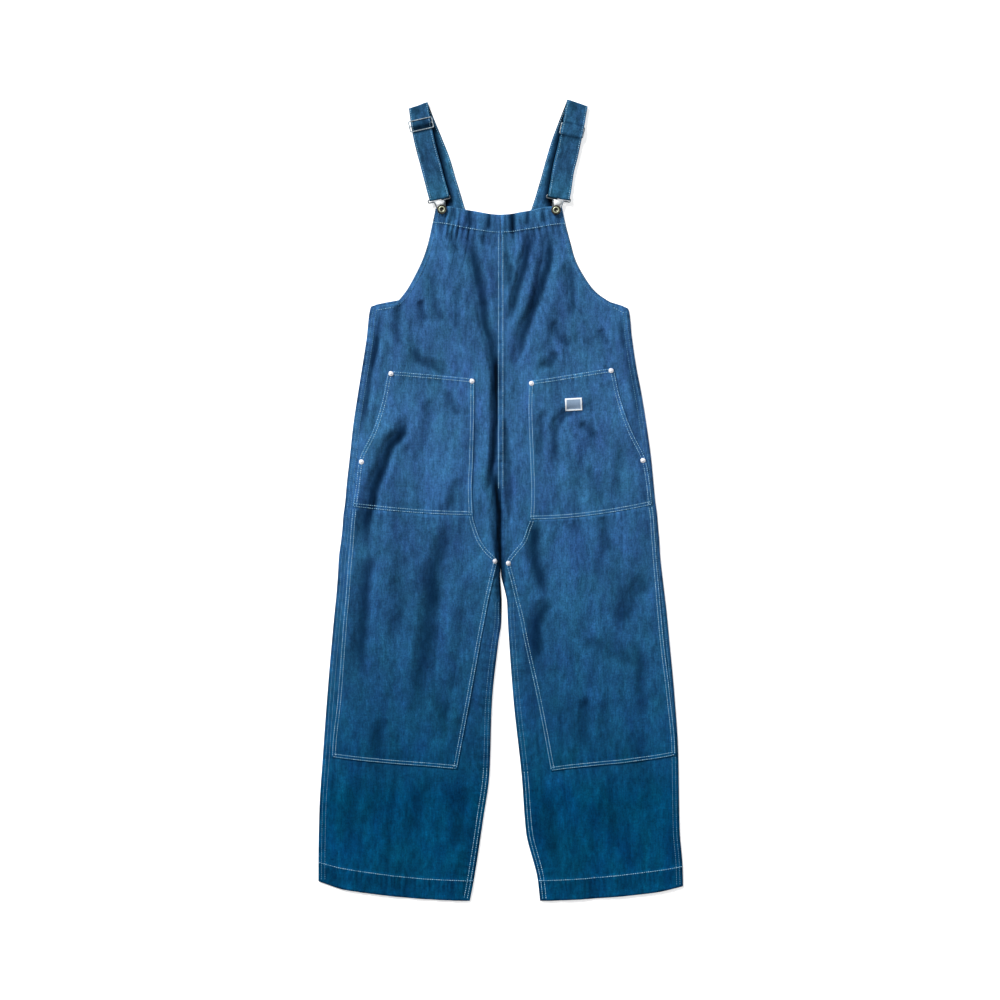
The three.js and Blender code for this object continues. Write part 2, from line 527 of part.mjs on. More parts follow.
// The band's stations in order, from its sewn end to its tail round the slider's middle bar. Each has
// the frame on the ground, how far it lies down from there, and its height.
function strapStations(strap) {
  const { path, slider, clip } = strapFrame(strap);
  const stations = [];
  const top = path.at(0);
  const rows = [...strap.back, { x: top.place.x, y: top.place.y, tilt: strap.front[0].tilt }];
  const back = groundPath(rows);
  const backSteps = 18;
  for (let k = 0; k <= backSteps; k += 1) {
    const frame = back.at((back.length * k) / backSteps);
    const leaving = ease((frame.place.y - LEAVES_BACK.from) / (LEAVES_BACK.to - LEAVES_BACK.from));
    stations.push({ frame, down: 0, z: mix(BAND_ON_BACK, BAND_ON_SURFACE, leaving) });
  }
  const arc = (frame, centre, radius, from, to, steps) => {
    for (let k = 1; k <= steps; k += 1) {
      const angle = THREE.MathUtils.degToRad(mix(from, to, k / steps));
      stations.push({ frame, down: radius * Math.cos(angle), z: centre + radius * Math.sin(angle) });
    }
  };
  arc(top, BAND_ON_SURFACE + FOLD_RADIUS, FOLD_RADIUS, -90, -270, 6);

  const half = strap.slider.swell;
  const over = strap.slider.z + OVER_BAR - BAND_UPPER;
  const upper = (s) => {
    const near = Math.min(Math.abs(s - slider) / half, 1);
    const parted = ease((s - clip + LOOP_SOFT) / LOOP_SOFT);
    return BAND_UPPER + over * Math.cos((near * Math.PI) / 2) ** 2
      + (CLIP.z + LOOP_RADIUS - BAND_UPPER) * parted;
  };
  const lower = (s) => BAND_LOWER
    + (CLIP.z - LOOP_RADIUS - BAND_LOWER) * ease((s - clip + LOOP_SOFT) / LOOP_SOFT)
    + (strap.slider.z - WRAP_RADIUS - BAND_LOWER) * ease((slider + BAR_RISE - s) / BAR_RISE);
  const span = (from, to, steps) => Array.from({ length: steps }, (_, k) => mix(from, to, (k + 1) / steps));
  for (const s of [...span(0, slider - half, 2), ...span(slider - half, slider + half, 12),
    ...span(slider + half, clip - LOOP_SOFT, 6), ...span(clip - LOOP_SOFT, clip, 5)]) {
    stations.push({ frame: path.at(s), down: 0, z: upper(s) });
  }
  arc(path.at(clip), CLIP.z, LOOP_RADIUS, 90, -90, 8);
  for (const s of [...span(clip, clip - LOOP_SOFT, 4), ...span(clip - LOOP_SOFT, slider + BAR_RISE, 7),
    ...span(slider + BAR_RISE, slider, 5)]) {
    stations.push({ frame: path.at(s), down: 0, z: lower(s) });
  }
  arc(path.at(slider), strap.slider.z, WRAP_RADIUS, -90, -330, 9);
  return stations;
}

function addStrap(strap) {
  const stations = strapStations(strap);
  const points = stations.map(({ frame, down, z }) => frame.place.clone().addScaledVector(frame.down, down).setZ(z));
  const rings = stations.map(({ frame }, i) => {
    const before = points[Math.max(i - 1, 0)];
    const after = points[Math.min(i + 1, points.length - 1)];
    const travel = after.clone().sub(before);
    const normal = new THREE.Vector3(0, 0, travel.dot(frame.down)).addScaledVector(frame.down, -travel.z);
    normal.setLength(STRAP_CLOTH / 2);
    const side = frame.across.clone().multiplyScalar(strap.width / 2);
    const corner = (w, n) => points[i].clone().addScaledVector(side, w).addScaledVector(normal, n);
    return [corner(1, -1), corner(1, 1), corner(-1, 1), corner(-1, -1)];
  });
  addPiece(`strap_${strap.side}`, loft(rings), STRAP_DENIM);
}

// The slider: a frame of three bars across the band, with two sides.
function addSlider(strap) {
  const { path, slider } = strapFrame(strap);
  const { outer, pitch, bar, bevel } = SLIDER;
  const rectangle = (x0, y0, x1, y1, shape) => shape.moveTo(x0, y0).lineTo(x1, y0).lineTo(x1, y1).lineTo(x0, y1);
  const halfX = outer / 2 - bevel;
  const halfY = pitch + bar / 2 - bevel;
  const shape = new THREE.Shape();
  rectangle(-halfX, -halfY, halfX, halfY, shape);
  for (const sign of [-1, 1]) {
    const hole = new THREE.Path();
    const [near, far] = [sign * (bar / 2 - bevel), sign * (pitch - bar / 2 + bevel)];
    rectangle(-outer / 2 + bar - bevel, near, outer / 2 - bar + bevel, far, hole);
    shape.holes.push(hole);
  }
  const geometry = new THREE.ExtrudeGeometry(shape, {
    depth: bar - 2 * bevel, bevelThickness: bevel, bevelSize: bevel, bevelSegments: 1, bevelEnabled: true,
  });
  geometry.translate(0, 0, bevel - bar / 2);
  const frame = path.at(slider);
  const piece = addPiece(`slider_${strap.side}`, geometry, STEEL);
  piece.position.copy(frame.place).setZ(strap.slider.z);
  piece.rotation.z = Math.atan2(frame.across.y, frame.across.x);
}

// The clip: one loop of wire with a wide bar inside the strap's loop, narrowing to the button's shank.
function addClip(strap) {
  const { path, clip } = strapFrame(strap);
  const { corner, shoulder, neck, waist } = CLIP;
  const frame = path.at(clip);
  const half = strap.width / 2 + 2 * SEAM_GAP + CLIP.wire;
  const button = new THREE.Vector3(strap.button[0], strap.button[1], 0);
  const reach = button.clone().sub(frame.place);
  const down = reach.clone().normalize();
  const slot = SHANK_RADIUS + SEAM_GAP + CLIP.wire;
  const end = reach.length();
  const side = [
    [half / 2, 0],
    [half - corner, 0],
    [half, corner],
    [half, shoulder - corner],
    [half - corner, shoulder],
    [neck + corner, shoulder],
    [neck, shoulder + corner],
    [waist, end - 1.5 * slot],
    [slot, end],
    [slot * 0.7, end + slot * 0.75],
  ];
  const loop = [[0, 0], ...side, [0, end + slot * 1.02], ...side.slice().reverse().map(([w, d]) => [-w, d])];
  const curve = new THREE.CatmullRomCurve3(loop.map(([w, d]) => {
    const along = frame.down.clone().lerp(down, Math.min(d / end, 1)).normalize();
    return frame.place.clone().addScaledVector(frame.across, w).addScaledVector(along, d).setZ(CLIP.z);
  }), true, 'centripetal');
  const steps = 48;
  const sides = 6;
  const rings = curve.getSpacedPoints(steps).slice(0, steps).map((p, i) => {
    const tangent = curve.getTangentAt(i / steps);
    const outward = new THREE.Vector3(tangent.y, -tangent.x, 0).normalize();
    return Array.from({ length: sides }, (_, k) => {
      const angle = (-2 * Math.PI * k) / sides;
      return p.clone().addScaledVector(outward, CLIP.wire * Math.cos(angle)).add(
        new THREE.Vector3(0, 0, CLIP.wire * Math.sin(angle)));
    });
  });
  addPiece(`clip_${strap.side}`, loft(rings, true), STEEL);
}

function addButton(strap, front) {
  const [x, y] = strap.button;
  const seat = seatOn([front], x, y, SHANK_RADIUS);
  const shank = CLIP.z + CLIP.wire + SEAM_GAP - seat.height;
  const profile = [[0, 0], [SHANK_RADIUS, 0], [SHANK_RADIUS, shank], [7.6, shank], [BUTTON_RADIUS, shank + 1],
    [7.6, shank + 2.2], [5.6, shank + BUTTON_HEAD], [3.8, shank + 2.2], [2.8, shank + 1], [0, shank + 1]];
  const button = addPiece(`button_${strap.side}`, turned(profile, 16), BRONZE);
  button.position.set(x, y, seat.height);
}

function addLabel(pocket) {
  const turn = THREE.MathUtils.degToRad(LABEL.tilt);
  const [columns, rows] = [8, 6];
  const grid = Array.from({ length: rows + 1 }, (_, i) => Array.from({ length: columns + 1 }, (_, j) => {
    const across = (j / columns - 0.5) * LABEL.width;
    const up = (i / rows - 0.5) * LABEL.height;
    const x = LABEL.x + across * Math.cos(turn) - up * Math.sin(turn);
    const y = LABEL.y + across * Math.sin(turn) + up * Math.cos(turn);
    return { x, y, z: heightOn([pocket], x, y) + SEAM_GAP, thick: LABEL.cloth };
  }));
  addPiece('label', wall(grid), LABEL_CLOTH);
}

// Panels, patches and rivets on each side
const SIDES = [
  { side: 'right', sign: -1, rows: RIGHT_ROWS, strap: RIGHT_STRAP },
  { side: 'left', sign: 1, rows: LEFT_ROWS, strap: LEFT_STRAP },
];
const RIVET_INSET = 4.5;

for (const { side, sign, rows, strap } of SIDES) {
  const front = frontGrid(rows, sign);
  const panel = addPiece(`front_panel_${side}`, wall(front.grid), DENIM);
  addPiece(`back_panel_${side}`, wall(backGrid(rows, sign)), DENIM);
  const pocket = addPiece(`pocket_${side}`, wall(patchGrid(front, 'pocketBottom', 'pocketTop')), DENIM);
  const knee = addPiece(`knee_patch_${side}`, wall(patchGrid(front, 'kneeBottom', 'pocketBottom')), DENIM);
  panel.updateMatrixWorld();
  const at = (name, column, dx, dy) => {
    const [x, y] = rows.find((r) => r.row === name)[column];
    return [x + sign * dx, y + dy];
  };
  addRivet(`rivet_pocket_inner_${side}`, [pocket], at('pocketTop', 'near', RIVET_INSET + 0.5, -RIVET_INSET - 0.5));
  addRivet(`rivet_pocket_outer_${side}`, [pocket], at('pocketTop', 'far', -RIVET_INSET - 1, -RIVET_INSET - 1));
  addRivet(`rivet_pocket_low_${side}`, [pocket], at('slantEnd', 'far', -RIVET_INSET - 1.5, 0));
  addRivet(`rivet_crotch_${side}`, [knee], at('crotch', 'near', RIVET_INSET + 1, 0));
  addStrap(strap);
  addSlider(strap);
  addClip(strap);
  addButton(strap, panel);
  if (side === 'left') addLabel(pocket);
}
garment.position.set(-MIDDLE.x, -MIDDLE.y, 0);

export default garment;
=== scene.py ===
"""Denim dungarees lying flat on a surface: cloth, sewing, buckles, buttons, rivets and a plain label.

The pattern is in millimetres, with the wearer's left at +X, the straps at +Y, and Z up off the surface.
It is made metres when a piece is finished.
"""
import math

import bmesh
import bpy
import numpy as np
from mathutils import Matrix, Vector
from mathutils.bvhtree import BVHTree


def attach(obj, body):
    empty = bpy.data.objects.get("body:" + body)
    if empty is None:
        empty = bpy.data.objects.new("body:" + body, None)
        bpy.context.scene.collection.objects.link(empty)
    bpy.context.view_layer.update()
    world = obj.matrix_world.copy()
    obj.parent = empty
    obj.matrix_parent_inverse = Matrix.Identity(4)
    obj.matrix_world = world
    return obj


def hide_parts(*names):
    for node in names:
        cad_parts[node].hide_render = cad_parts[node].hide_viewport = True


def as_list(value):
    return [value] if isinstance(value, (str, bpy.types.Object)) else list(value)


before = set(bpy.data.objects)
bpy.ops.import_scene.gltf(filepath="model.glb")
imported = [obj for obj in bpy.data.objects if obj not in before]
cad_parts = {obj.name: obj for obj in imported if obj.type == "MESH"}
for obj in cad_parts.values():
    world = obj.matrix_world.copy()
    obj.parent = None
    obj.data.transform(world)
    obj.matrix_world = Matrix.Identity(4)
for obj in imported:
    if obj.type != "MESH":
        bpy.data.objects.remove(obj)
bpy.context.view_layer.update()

# The middle of the whole outline, which becomes the origin
MIDDLE = np.array([0.5, -0.15, 0.0])

# Cloth and sewing
CLOTH = 1.2
STRAP_CLOTH = 1.5
SEAM_GAP = 0.3
SHUT_GAP = 0.01
BACK_SEAM_SHIFT = 0.5
BACK_UNDER = 0.3
SUNK = 0.58
HEM_EXTRA = 0.9
HEM_STEP = 2.0
PANEL_CELL = 3.2
PANEL_WIDTH = 270.0
PATCH_CELL = 2.9
PATCH_COLUMNS = 58
BACK_CELL = 6.0
STITCH = 3.8
STITCH_LENGTH = 2.7
THREAD = 0.52
# How much deeper than their table the folds are pressed
FOLD_DEPTH = 2.1
FOLD_REACH = 4.5
FULL_TROUGH = 3.6
PATH_STEPS = 4
ROW_STEPS = 24
LATTICE = 128
THIN_CREASE = 0.24
EDGE_THINNING = (0.3, 0.8)
# Where rows of points stand in from a cloth's edge, and the rounding of its rim
RIM = (0.45, 1.3)
FAR = 99
RIVET_STEPS = 20
RIVET_SEAT = 3.4
BUTTON_STEPS = 32
WIRE_SIDES = 10
TARNISH_SCALE = 260
PLATE_SIZE = {"thick": 0.8, "edge": 0.25}
BAND_EDGE_SHARE = 0.86
BACK_HEM = 35
BACK_TOP_HEM = 30
SEED_STITCHES = 5

# How the layers lie: heights of undersides above the surface
EDGE_LIFT = 0.9
EDGE_ROLL = 6.0
FRONT_AT_SEAM = 2.4
FRONT_FIELD = 4.4
FRONT_FIELD_AT_HEM = 3.4
SEAM_SOFT = 20.0
FREE_EDGE_SOFT = 30.0
ON_BACK = 1.5
ON_STRAP = 1.8
ON_BACK_AND_STRAP = 3.3
STRAP_ZONE = {"half": 68, "from": 352, "to": 412, "soft": 14}

# A front panel's rows from hem to bib top: its points at the inseam or centre seam, at the inner and
# outer sides of the pocket and knee patch, and at the side seam or armhole.
RIGHT_ROWS = {
    "hem": [(-53.5, -701), (-113, -699), (-272, -681.8), (-318.5, -667)],
    "hemStitch": [(-46.5, -664.5), (-109.5, -662.5), (-270.5, -644), (-318.5, -632)],
    "lowerLeg": [(-30.5, -560), (-93, -563.5), (-281, -553), (-317, -546)],
    "kneeBottom": [(-19, -476), (-75.6, -470.8), (-295, -449.6), (-310.5, -444)],
    "shin": [(-15, -357), (-52.8, -350), (-285.2, -345), (-303, -341)],
    "knee": [(-3.5, -248.5), (-33.8, -245), (-277.2, -240), (-294, -236)],
    "thighLow": [(1.6, -212), (-26.8, -208), (-274.5, -204), (-290.5, -199)],
    "thigh": [(2.1, -178.5), (-20.6, -175), (-271.2, -170), (-287, -164.5)],
    "parting": [(-0.5, -131), (-12, -137), (-269, -137), (-284.5, -131)],
    "crotch": [(0, -112), (-5.4, -106), (-266.7, -105), (-282.5, -98)],
    "kneeCurve": [(0, -101.5), (-22.2, -87), (-264.2, -80.5), (-279, -72)],
    "kneeArc": [(0, -73.5), (-34.6, -69), (-262.7, -58), (-276.5, -49)],
    "kneeTop": [(0, -45.5), (-42.9, -47), (-260.9, -35), (-275, -28)],
    "pocketBottom": [(0, -20), (-47.8, -27), (-258.6, -12.3), (-272, -6)],
    "hip": [(0, 30), (-49.5, 23), (-253, 28), (-268.5, 33)],
    "slantEnd": [(0, 70), (-47.5, 66.5), (-248.5, 66.5), (-264, 72)],
    "seat": [(0, 121), (-46.2, 119), (-223, 122.5), (-258, 128)],
    "waist": [(0, 171.5), (-45.2, 168), (-206.6, 175), (-250, 182)],
    "pocketTop": [(0, 208), (-45.2, 212.6), (-196, 226), (-242.5, 229)],
    "belly": [(0, 257), (-50, 264), (-174.5, 274), (-234.5, 280)],
    "sideTop": [(0, 297.5), (-55, 305), (-160, 320), (-226, 338.5)],
    "armholeLow": [(0, 325.5), (-57, 334), (-141, 342), (-186.4, 344.4)],
    "armholeTurn": [(0, 350), (-57.5, 357), (-132, 363), (-167, 363)],
    "armhole": [(0, 378), (-58, 383), (-123.5, 386), (-153, 386)],
    "armholeHigh": [(0, 411), (-57.5, 417), (-114.5, 422), (-135.2, 423.5)],
    "bibLow": [(0, 437), (-56.5, 444), (-106.5, 449), (-126.9, 449)],
    "bibStitch": [(0, 467), (-55, 474), (-99.5, 483), (-118.8, 485)],
    "bibTop": [(0, 499), (-53.5, 506.5), (-95.5, 513.5), (-113.5, 510)],
}
LEFT_ROWS = {
    "hem": [(69, -701), (128.5, -699), (267, -687), (319.5, -675.5)],
    "hemStitch": [(65, -664), (125, -662), (268.5, -647.5), (318.5, -639.5)],
    "lowerLeg": [(44.6, -581), (107, -586), (282.5, -581), (313.5, -576)],
    "kneeBottom": [(37, -483), (87.5, -474), (306.2, -446), (311, -442)],
    "shin": [(23, -353.5), (64, -350), (297.7, -345), (304.5, -343)],
    "knee": [(15, -248.5), (40.6, -245), (285.2, -240), (294.5, -236)],
    "thighLow": [(12.8, -212), (33.4, -208), (282, -204), (291, -199)],
    "thigh": [(11.3, -178.5), (25.2, -175), (279.2, -170), (287, -164.5)],
    "parting": [(1, -131), (16.5, -138), (276.5, -137), (283, -131)],
    "crotch": [(0, -112), (9.6, -109.5), (273.7, -105), (279.5, -98)],
    "kneeCurve": [(0, -101.5), (23.6, -88), (272.2, -80.5), (278, -72)],
    "kneeArc": [(0, -73.5), (38, -70), (270.2, -56), (276, -49)],
    "kneeTop": [(0, -45.5), (46.4, -47), (268.7, -30), (274, -24.5)],
    "pocketBottom": [(0, -25), (50.8, -34.7), (265.7, -8.8), (271, -3)],
    "hip": [(0, 23), (53, 14), (262, 28), (267.5, 33)],
    "slantEnd": [(0, 66.5), (51.6, 59.5), (254.6, 69), (263.5, 73.5)],
    "seat": [(0, 121), (49.5, 112), (229.3, 122.5), (256, 128)],
    "waist": [(0, 171.5), (48.1, 161), (209.5, 178.5), (247, 184)],
    "pocketTop": [(0, 203), (49.5, 208.6), (197.8, 231.4), (237, 236.5)],
    "belly": [(0, 257), (51, 260), (179.5, 277.5), (230, 284.5)],
    "sideTop": [(0, 297.5), (53.5, 304.5), (160, 320), (224, 333.5)],
    "armholeLow": [(0, 325.5), (55, 332.5), (144.5, 341), (197, 344)],
    "armholeTurn": [(0, 350), (55, 357), (134, 362), (168, 363)],
    "armhole": [(0, 378), (55, 383), (122.5, 385), (149.5, 386)],
    "armholeHigh": [(0, 411), (54, 417), (112, 422), (130.2, 422.5)],
    "bibLow": [(0, 437), (53.5, 444), (104, 448), (123, 448)],
    "bibStitch": [(0, 467), (51.5, 473.5), (95, 481), (113.8, 483)],
    "bibTop": [(0, 499), (50, 506), (85, 513), (107.5, 513)],
}
BACK_TOP_ROWS = [(322, (182, 349)), (345, (136, 359)), (369, (94, 374)), (395, (62, 395))]

# Folds that lie in the cloth. Each follows its points, and has a half width and a height, which is a
# trough below nought. Its lean makes one side steeper: above nought the side to the left of its run.
# Their troughs are also painted darker, as shade.
FOLDS = [
    ([(-92, 470), (-84, 452), (-74, 432)], 4, -2.4, 0),
    ([(-31, 464), (-27, 440)], 3.5, -2.0, 0),
    ([(9, 434), (17, 393), (14, 365)], 4.5, -2.2, 0),
    ([(-57, 466), (-45, 420), (-36, 368), (-29, 315), (-18, 271), (-10, 225), (-8, 130)], 9, -4.0, -0.3),
    ([(-40, 440), (-24, 400), (-16, 330), (-12, 250)], 7, 2.0, 0),
    ([(-98, 440), (-74, 380), (-58, 300), (-44, 230)], 14, 2.4, 0),
    ([(-141, 350), (-136, 326), (-127, 306)], 6, -2.6, 0),
    ([(-155, 271), (-141, 245), (-106, 228), (-92, 214)], 7, -2.4, 0),
    ([(-176, 350), (-180, 310), (-179, 262)], 6, -2.0, 0),
    ([(-95, 192), (-80, 158), (-71, 140)], 7, -1.8, 0),
    ([(-214, 290), (-222, 250), (-225, 225)], 6, -2.0, 0),
    ([(-168, 150), (-170, 122), (-192, 95), (-208, 47), (-224, 2), (-232, -45), (-238, -105)],
     9.5, -5.4, 0.3),
    ([(-229, -90), (-237, -175), (-241, -245), (-246, -332)], 11, -3.4, 0.2),
    ([(-150, 110), (-178, 40), (-195, -80), (-205, -240)], 17, 2.2, 0),
    ([(-24, 192), (-24, 120), (-22, 35)], 8, 2.2, 0),
    ([(-9, 262), (-8, 190), (-10, 105), (-17, 44), (-26, -18)], 4.4, -4.4, 0),
    ([(-22, 20), (-20, -50), (-12, -95)], 5, 1.6, 0),
    ([(6, 30), (6, -60), (5, -125)], 5, 1.4, 0),
    ([(-74, -32), (-104, -79), (-122, -158), (-136, -254), (-146, -332), (-155, -411)], 14, -3.0, -0.4),
    ([(-60, -110), (-84, -220), (-100, -370)], 16, 1.8, 0),
    ([(-92, -350), (-106, -420)], 8, -1.4, 0),
    ([(-123, -472), (-141, -525), (-162, -595)], 12, -2.0, 0),
    ([(-215, -470), (-221, -560), (-225, -640)], 24, 1.2, 0),
    ([(51, 468), (45, 424), (30, 375), (13, 298)], 6.5, -3.6, 0),
    ([(69, 440), (56, 370), (34, 297)], 8, 2.0, 0),
    ([(84, 474), (86, 420), (78, 394), (59, 341), (41, 289), (17, 210)], 8, -3.8, 0.2),
    ([(104, 430), (96, 370), (70, 290), (60, 225)], 11, 2.0, 0),
    ([(119, 420), (125, 368), (127, 308)], 7, -2.6, 0),
    ([(92, 315), (101, 289), (130, 266)], 6, -2.4, 0),
    ([(174, 300), (180, 285), (188, 266)], 6, -1.8, 0),
    ([(95, 62), (98, 122), (115, 150), (165, 160)], 8, -2.2, 0),
    ([(140, 136), (158, 118), (172, 102)], 7, -1.8, 0),
    ([(57, -35), (60, -105), (74, -158), (87, -175)], 10, -4.4, -0.3),
    ([(87, -170), (69, -205), (60, -245), (66, -289)], 10, -3.2, 0),
    ([(118, -50), (130, -160), (128, -300)], 19, 2.0, 0),
    ([(178, -26), (186, -70), (195, -102)], 8, -2.2, 0),
    ([(258, -131), (227, -178), (195, -224)], 15, -2.2, 0),
    ([(225, 20), (228, -90), (222, -190)], 18, 1.5, 0),
    ([(105, -470), (130, -560), (165, -640)], 26, 1.6, 0),
    ([(140, -250), (185, -262), (250, -300)], 12, -1.4, 0),
    ([(110, -330), (150, -350), (230, -330)], 14, 1.2, 0),
    ([(230, -400), (250, -470), (262, -560)], 18, -1.4, 0),
    ([(-211, 330), (-215, 285), (-226, 230), (-235, 165), (-247, 100)], 5, -2.8, 0),
    ([(211, 326), (215, 290), (225, 240), (238, 175), (249, 110)], 5, -2.8, 0),
    ([(10, 150), (14, 60), (20, -40)], 5, -2.2, 0),
    ([(-120, 180), (-128, 120), (-150, 60)], 9, -1.6, 0.2),
    ([(-70, 40), (-86, 0), (-92, -30)], 8, -1.5, 0),
    ([(150, 60), (170, 20), (176, -20)], 9, -1.5, 0),
    ([(80, 160), (72, 110), (70, 60)], 8, -1.4, 0),
    ([(215, 90), (206, 40), (210, -10)], 8, -1.5, 0),
    ([(-120, 400), (-112, 340), (-90, 300)], 8, -1.8, 0.2),
    ([(-70, 380), (-78, 330), (-72, 280)], 7, -1.6, 0),
    ([(100, 260), (86, 240), (60, 226)], 7, -1.8, 0),
    ([(-200, -380), (-214, -420), (-220, -460)], 9, -1.6, 0),
    ([(150, -340), (146, -400), (158, -450)], 10, -1.8, 0),
    ([(235, -240), (246, -300), (250, -380)], 9, -2.0, 0),
    ([(-180, -130), (-176, -190), (-190, -250)], 10, -1.5, 0),
    ([(-60, -500), (-70, -560), (-84, -630)], 10, -1.6, 0),
    ([(-240, -480), (-262, -560), (-268, -640)], 12, -1.6, 0),
    ([(80, -510), (92, -580), (100, -640)], 9, -1.6, 0),
    ([(200, -470), (190, -540), (205, -620)], 12, -1.6, 0),
]
# The tight gap at the crotch, a deep narrow fold painted nearly black with shade down to where the legs part
CROTCH_GAP = [([(-12, 60), (-8, 20), (-3, -25), (-3, -70), (-1, -105), (1, -150), (4, -240)], 5.8, -8.0, 0)]
# Rows of small puckers across a front panel's seams: how far apart, how high, how far they reach, and the
# seed, which is one more on the wearer's left where the two sides differ
PUCKERS = {
    "side": (17, 0.55, 15, 21),
    "inseam": (15, 0.45, 14, 31),
    "centre": (14, 0.35, 9, 41),
    "hem": (8.6, 0.8, 13, 51),
    "band": (13, 1.0, 17, 61),
    "below_band": (11, 0.75, 15, 65),
}
# Swells of the cloth: how high, how wide and long their bumps are, and the seed
SWELLS = [(0.5, 17, 58, 11), (0.34, 9, 22, 12), (0.5, 48, 90, 13)]
# How high the swells are and how deep the small creases, beside the folds
SWELL_HEIGHT = 1.5
CREASE_DEPTH = 1.1
# Cloth added where it is turned or felled at a seam, how wide that is, and how softly it ends
FELLED = {"thick": 0.55, "right": 6.2, "left": 4.2, "soft": 1.2}
INSEAM_TURN = {"thick": 0.5, "wide": 16.5}
SIDE_TURN = {"thick": 0.45, "wide": 8.5}
ARMHOLE_TURN = {"thick": 0.5, "wide": 9}
TURN_SOFT = 1.4
# How far the cloth turns down at the side seam and inseam, and over what width
EDGE_DROP = 1.15
EDGE_TURN = 4.5
# Short puckers in the bib's hem, their troughs painted darker as shade
BIB_PUCKERS = [
    ([(20, 508), (21, 484), (21, 460)], 5.4, -5.6, 0),
    ([(-81, 516), (-80, 484)], 4.0, -2.6, 0),
    ([(-54, 514), (-52, 470)], 5.0, -3.2, 0),
    ([(-20, 508), (-20, 466)], 4.6, -3.0, 0),
    ([(47, 510), (48, 474)], 4.0, -2.4, 0),
    ([(74, 514), (76, 480)], 4.0, -2.2, 0),
]

# Straps, for the wearer's right and left: x and y on the middle line, and how far the width is turned
RIGHT_STRAP = {
    "side": "right",
    "width": 35,
    "slider": {"z": 6.8, "swell": 9.2},
    "front": [(-144.5, 690.5, 19), (-139, 656, 12.5), (-129.5, 612.5, 14.5), (-121.5, 583.5, 14.5),
              (-114.5, 554.5, 13.5), (-107.4, 524.8, 13)],
    "back": [(-31, 367.5, 18.6), (-42.5, 395, 18.6), (-80, 507, 18.6), (-106, 592.5, 18.6)],
    "button": (-102.5, 507.5),
}
LEFT_STRAP = {
    "side": "left",
    "width": 38,
    "slider": {"z": 4.95, "swell": 22},
    "front": [(134.7, 694.7, -18.8), (125.5, 646, -12), (118.3, 612.5, -11.5), (110.3, 577.5, -10.5),
              (106.2, 551.3, -10.5), (101.2, 526.3, -11)],
    "back": [(31.5, 367.5, -17.5), (39, 395, -17.5), (73.7, 505.4, -17.5), (102.6, 607, -17.5)],
    "button": (97, 506.5),
}
SLIDER = {"outer": 43, "pitch": 9.2, "wire": 1.0}
CLIP = {"wire": 1.2, "z": 6.3, "corner": 1.8, "shoulder": 5.2, "neck": 9, "waist": 7.6}
SHANK_RADIUS = 2.75
BAND_ON_SURFACE = STRAP_CLOTH / 2 + 0.16
BAND_ON_BACK = ON_BACK + STRAP_CLOTH / 2
BAND_LOWER = 2.95
BAND_UPPER = 4.75
FOLD_RADIUS = (BAND_UPPER - BAND_ON_SURFACE) / 2
LOOP_RADIUS = CLIP["wire"] + 0.4 + STRAP_CLOTH / 2
WRAP_RADIUS = 2.2
OVER_BAR = WRAP_RADIUS + STRAP_CLOTH + 0.35
LOOP_SOFT = 16
BACK_STATIONS = 90
BAR_RISE = 8
LABEL = {"x": 127.75, "y": 167, "width": 29.5, "height": 22, "tilt": 3, "cloth": 0.8}


# Small sums

def mix(a, b, t):
    return a + (b - a) * t


def ease(t):
    t = np.clip(t, 0, 1)
    return t * t * (3 - 2 * t)


def bell(distance, width):
    return np.exp(-(distance / width) ** 2)


def hermite(start, end, start_slope, end_slope, gap, u):
    """A cubic over one gap, from its end values and slopes."""
    rising = start * (1 + 2 * u) * (1 - u) ** 2 + gap * start_slope * u * (1 - u) ** 2
    return rising + end * u * u * (3 - 2 * u) - gap * end_slope * u * u * (1 - u)


def lengths_along(path):
    """How far along a path each of its points is."""
    steps = np.linalg.norm(np.diff(path, axis=0), axis=1)
    return np.concatenate([[0], np.cumsum(steps)])


def tangents_of(slopes):
    """Tangents at every stop, which never make the curve overshoot."""
    a, b = slopes[:-1], slopes[1:]
    both = a + b
    inner = np.where(a * b <= 0, 0, 2 * a * b / np.where(both == 0, 1, both))
    return np.concatenate([slopes[:1], inner, slopes[-1:]])


def curve_through(stops, values, t):
    """A smooth curve through values at rising stops. The values may be numbers or whole rows of points."""
    stops, values, t = np.asarray(stops, float), np.asarray(values, float), np.asarray(t, float)
    shape = (-1,) + (1,) * (values.ndim - 1)
    slopes = np.diff(values, axis=0) / np.diff(stops).reshape(shape)
    tangents = tangents_of(slopes)
    i = np.clip(np.searchsorted(stops, t, side="right") - 1, 0, len(stops) - 2)
    gap = stops[i + 1] - stops[i]
    u = (t - stops[i]) / gap
    if values.ndim > 1:
        gap, u = gap.reshape(shape), u.reshape(shape)
    return hermite(values[i], values[i + 1], tangents[i], tangents[i + 1], gap, u)


def spread(stops, cell):
    """Stops with even steps of at most one cell put between them."""
    steps = []
    for a, b in zip(stops[:-1], stops[1:]):
        count = max(1, math.ceil((b - a) / cell))
        steps.extend(a + (b - a) * k / count for k in range(count))
    return np.array(steps + [stops[-1]])


def nearest_on(path, x, y):
    """How far each point is from a path, above nought to its left, and where along it."""
    path = np.asarray(path, float)
    best = np.full(x.shape, 1e9)
    across, along = np.zeros(x.shape), np.zeros(x.shape)
    run = 0.0
    for a, b in zip(path[:-1], path[1:]):
        d = b - a
        length = math.hypot(*d)
        s = ((x - a[0]) * d[0] + (y - a[1]) * d[1]) / length
        s = np.clip(s, 0, length)
        px, py = x - a[0] - s * d[0] / length, y - a[1] - s * d[1] / length
        far = np.hypot(px, py)
        near = far < best
        side = np.sign(d[0] * py - d[1] * px)
        best = np.where(near, far, best)
        across = np.where(near, far * side, across)
        along = np.where(near, run + s, along)
        run += length
    return across, along, run


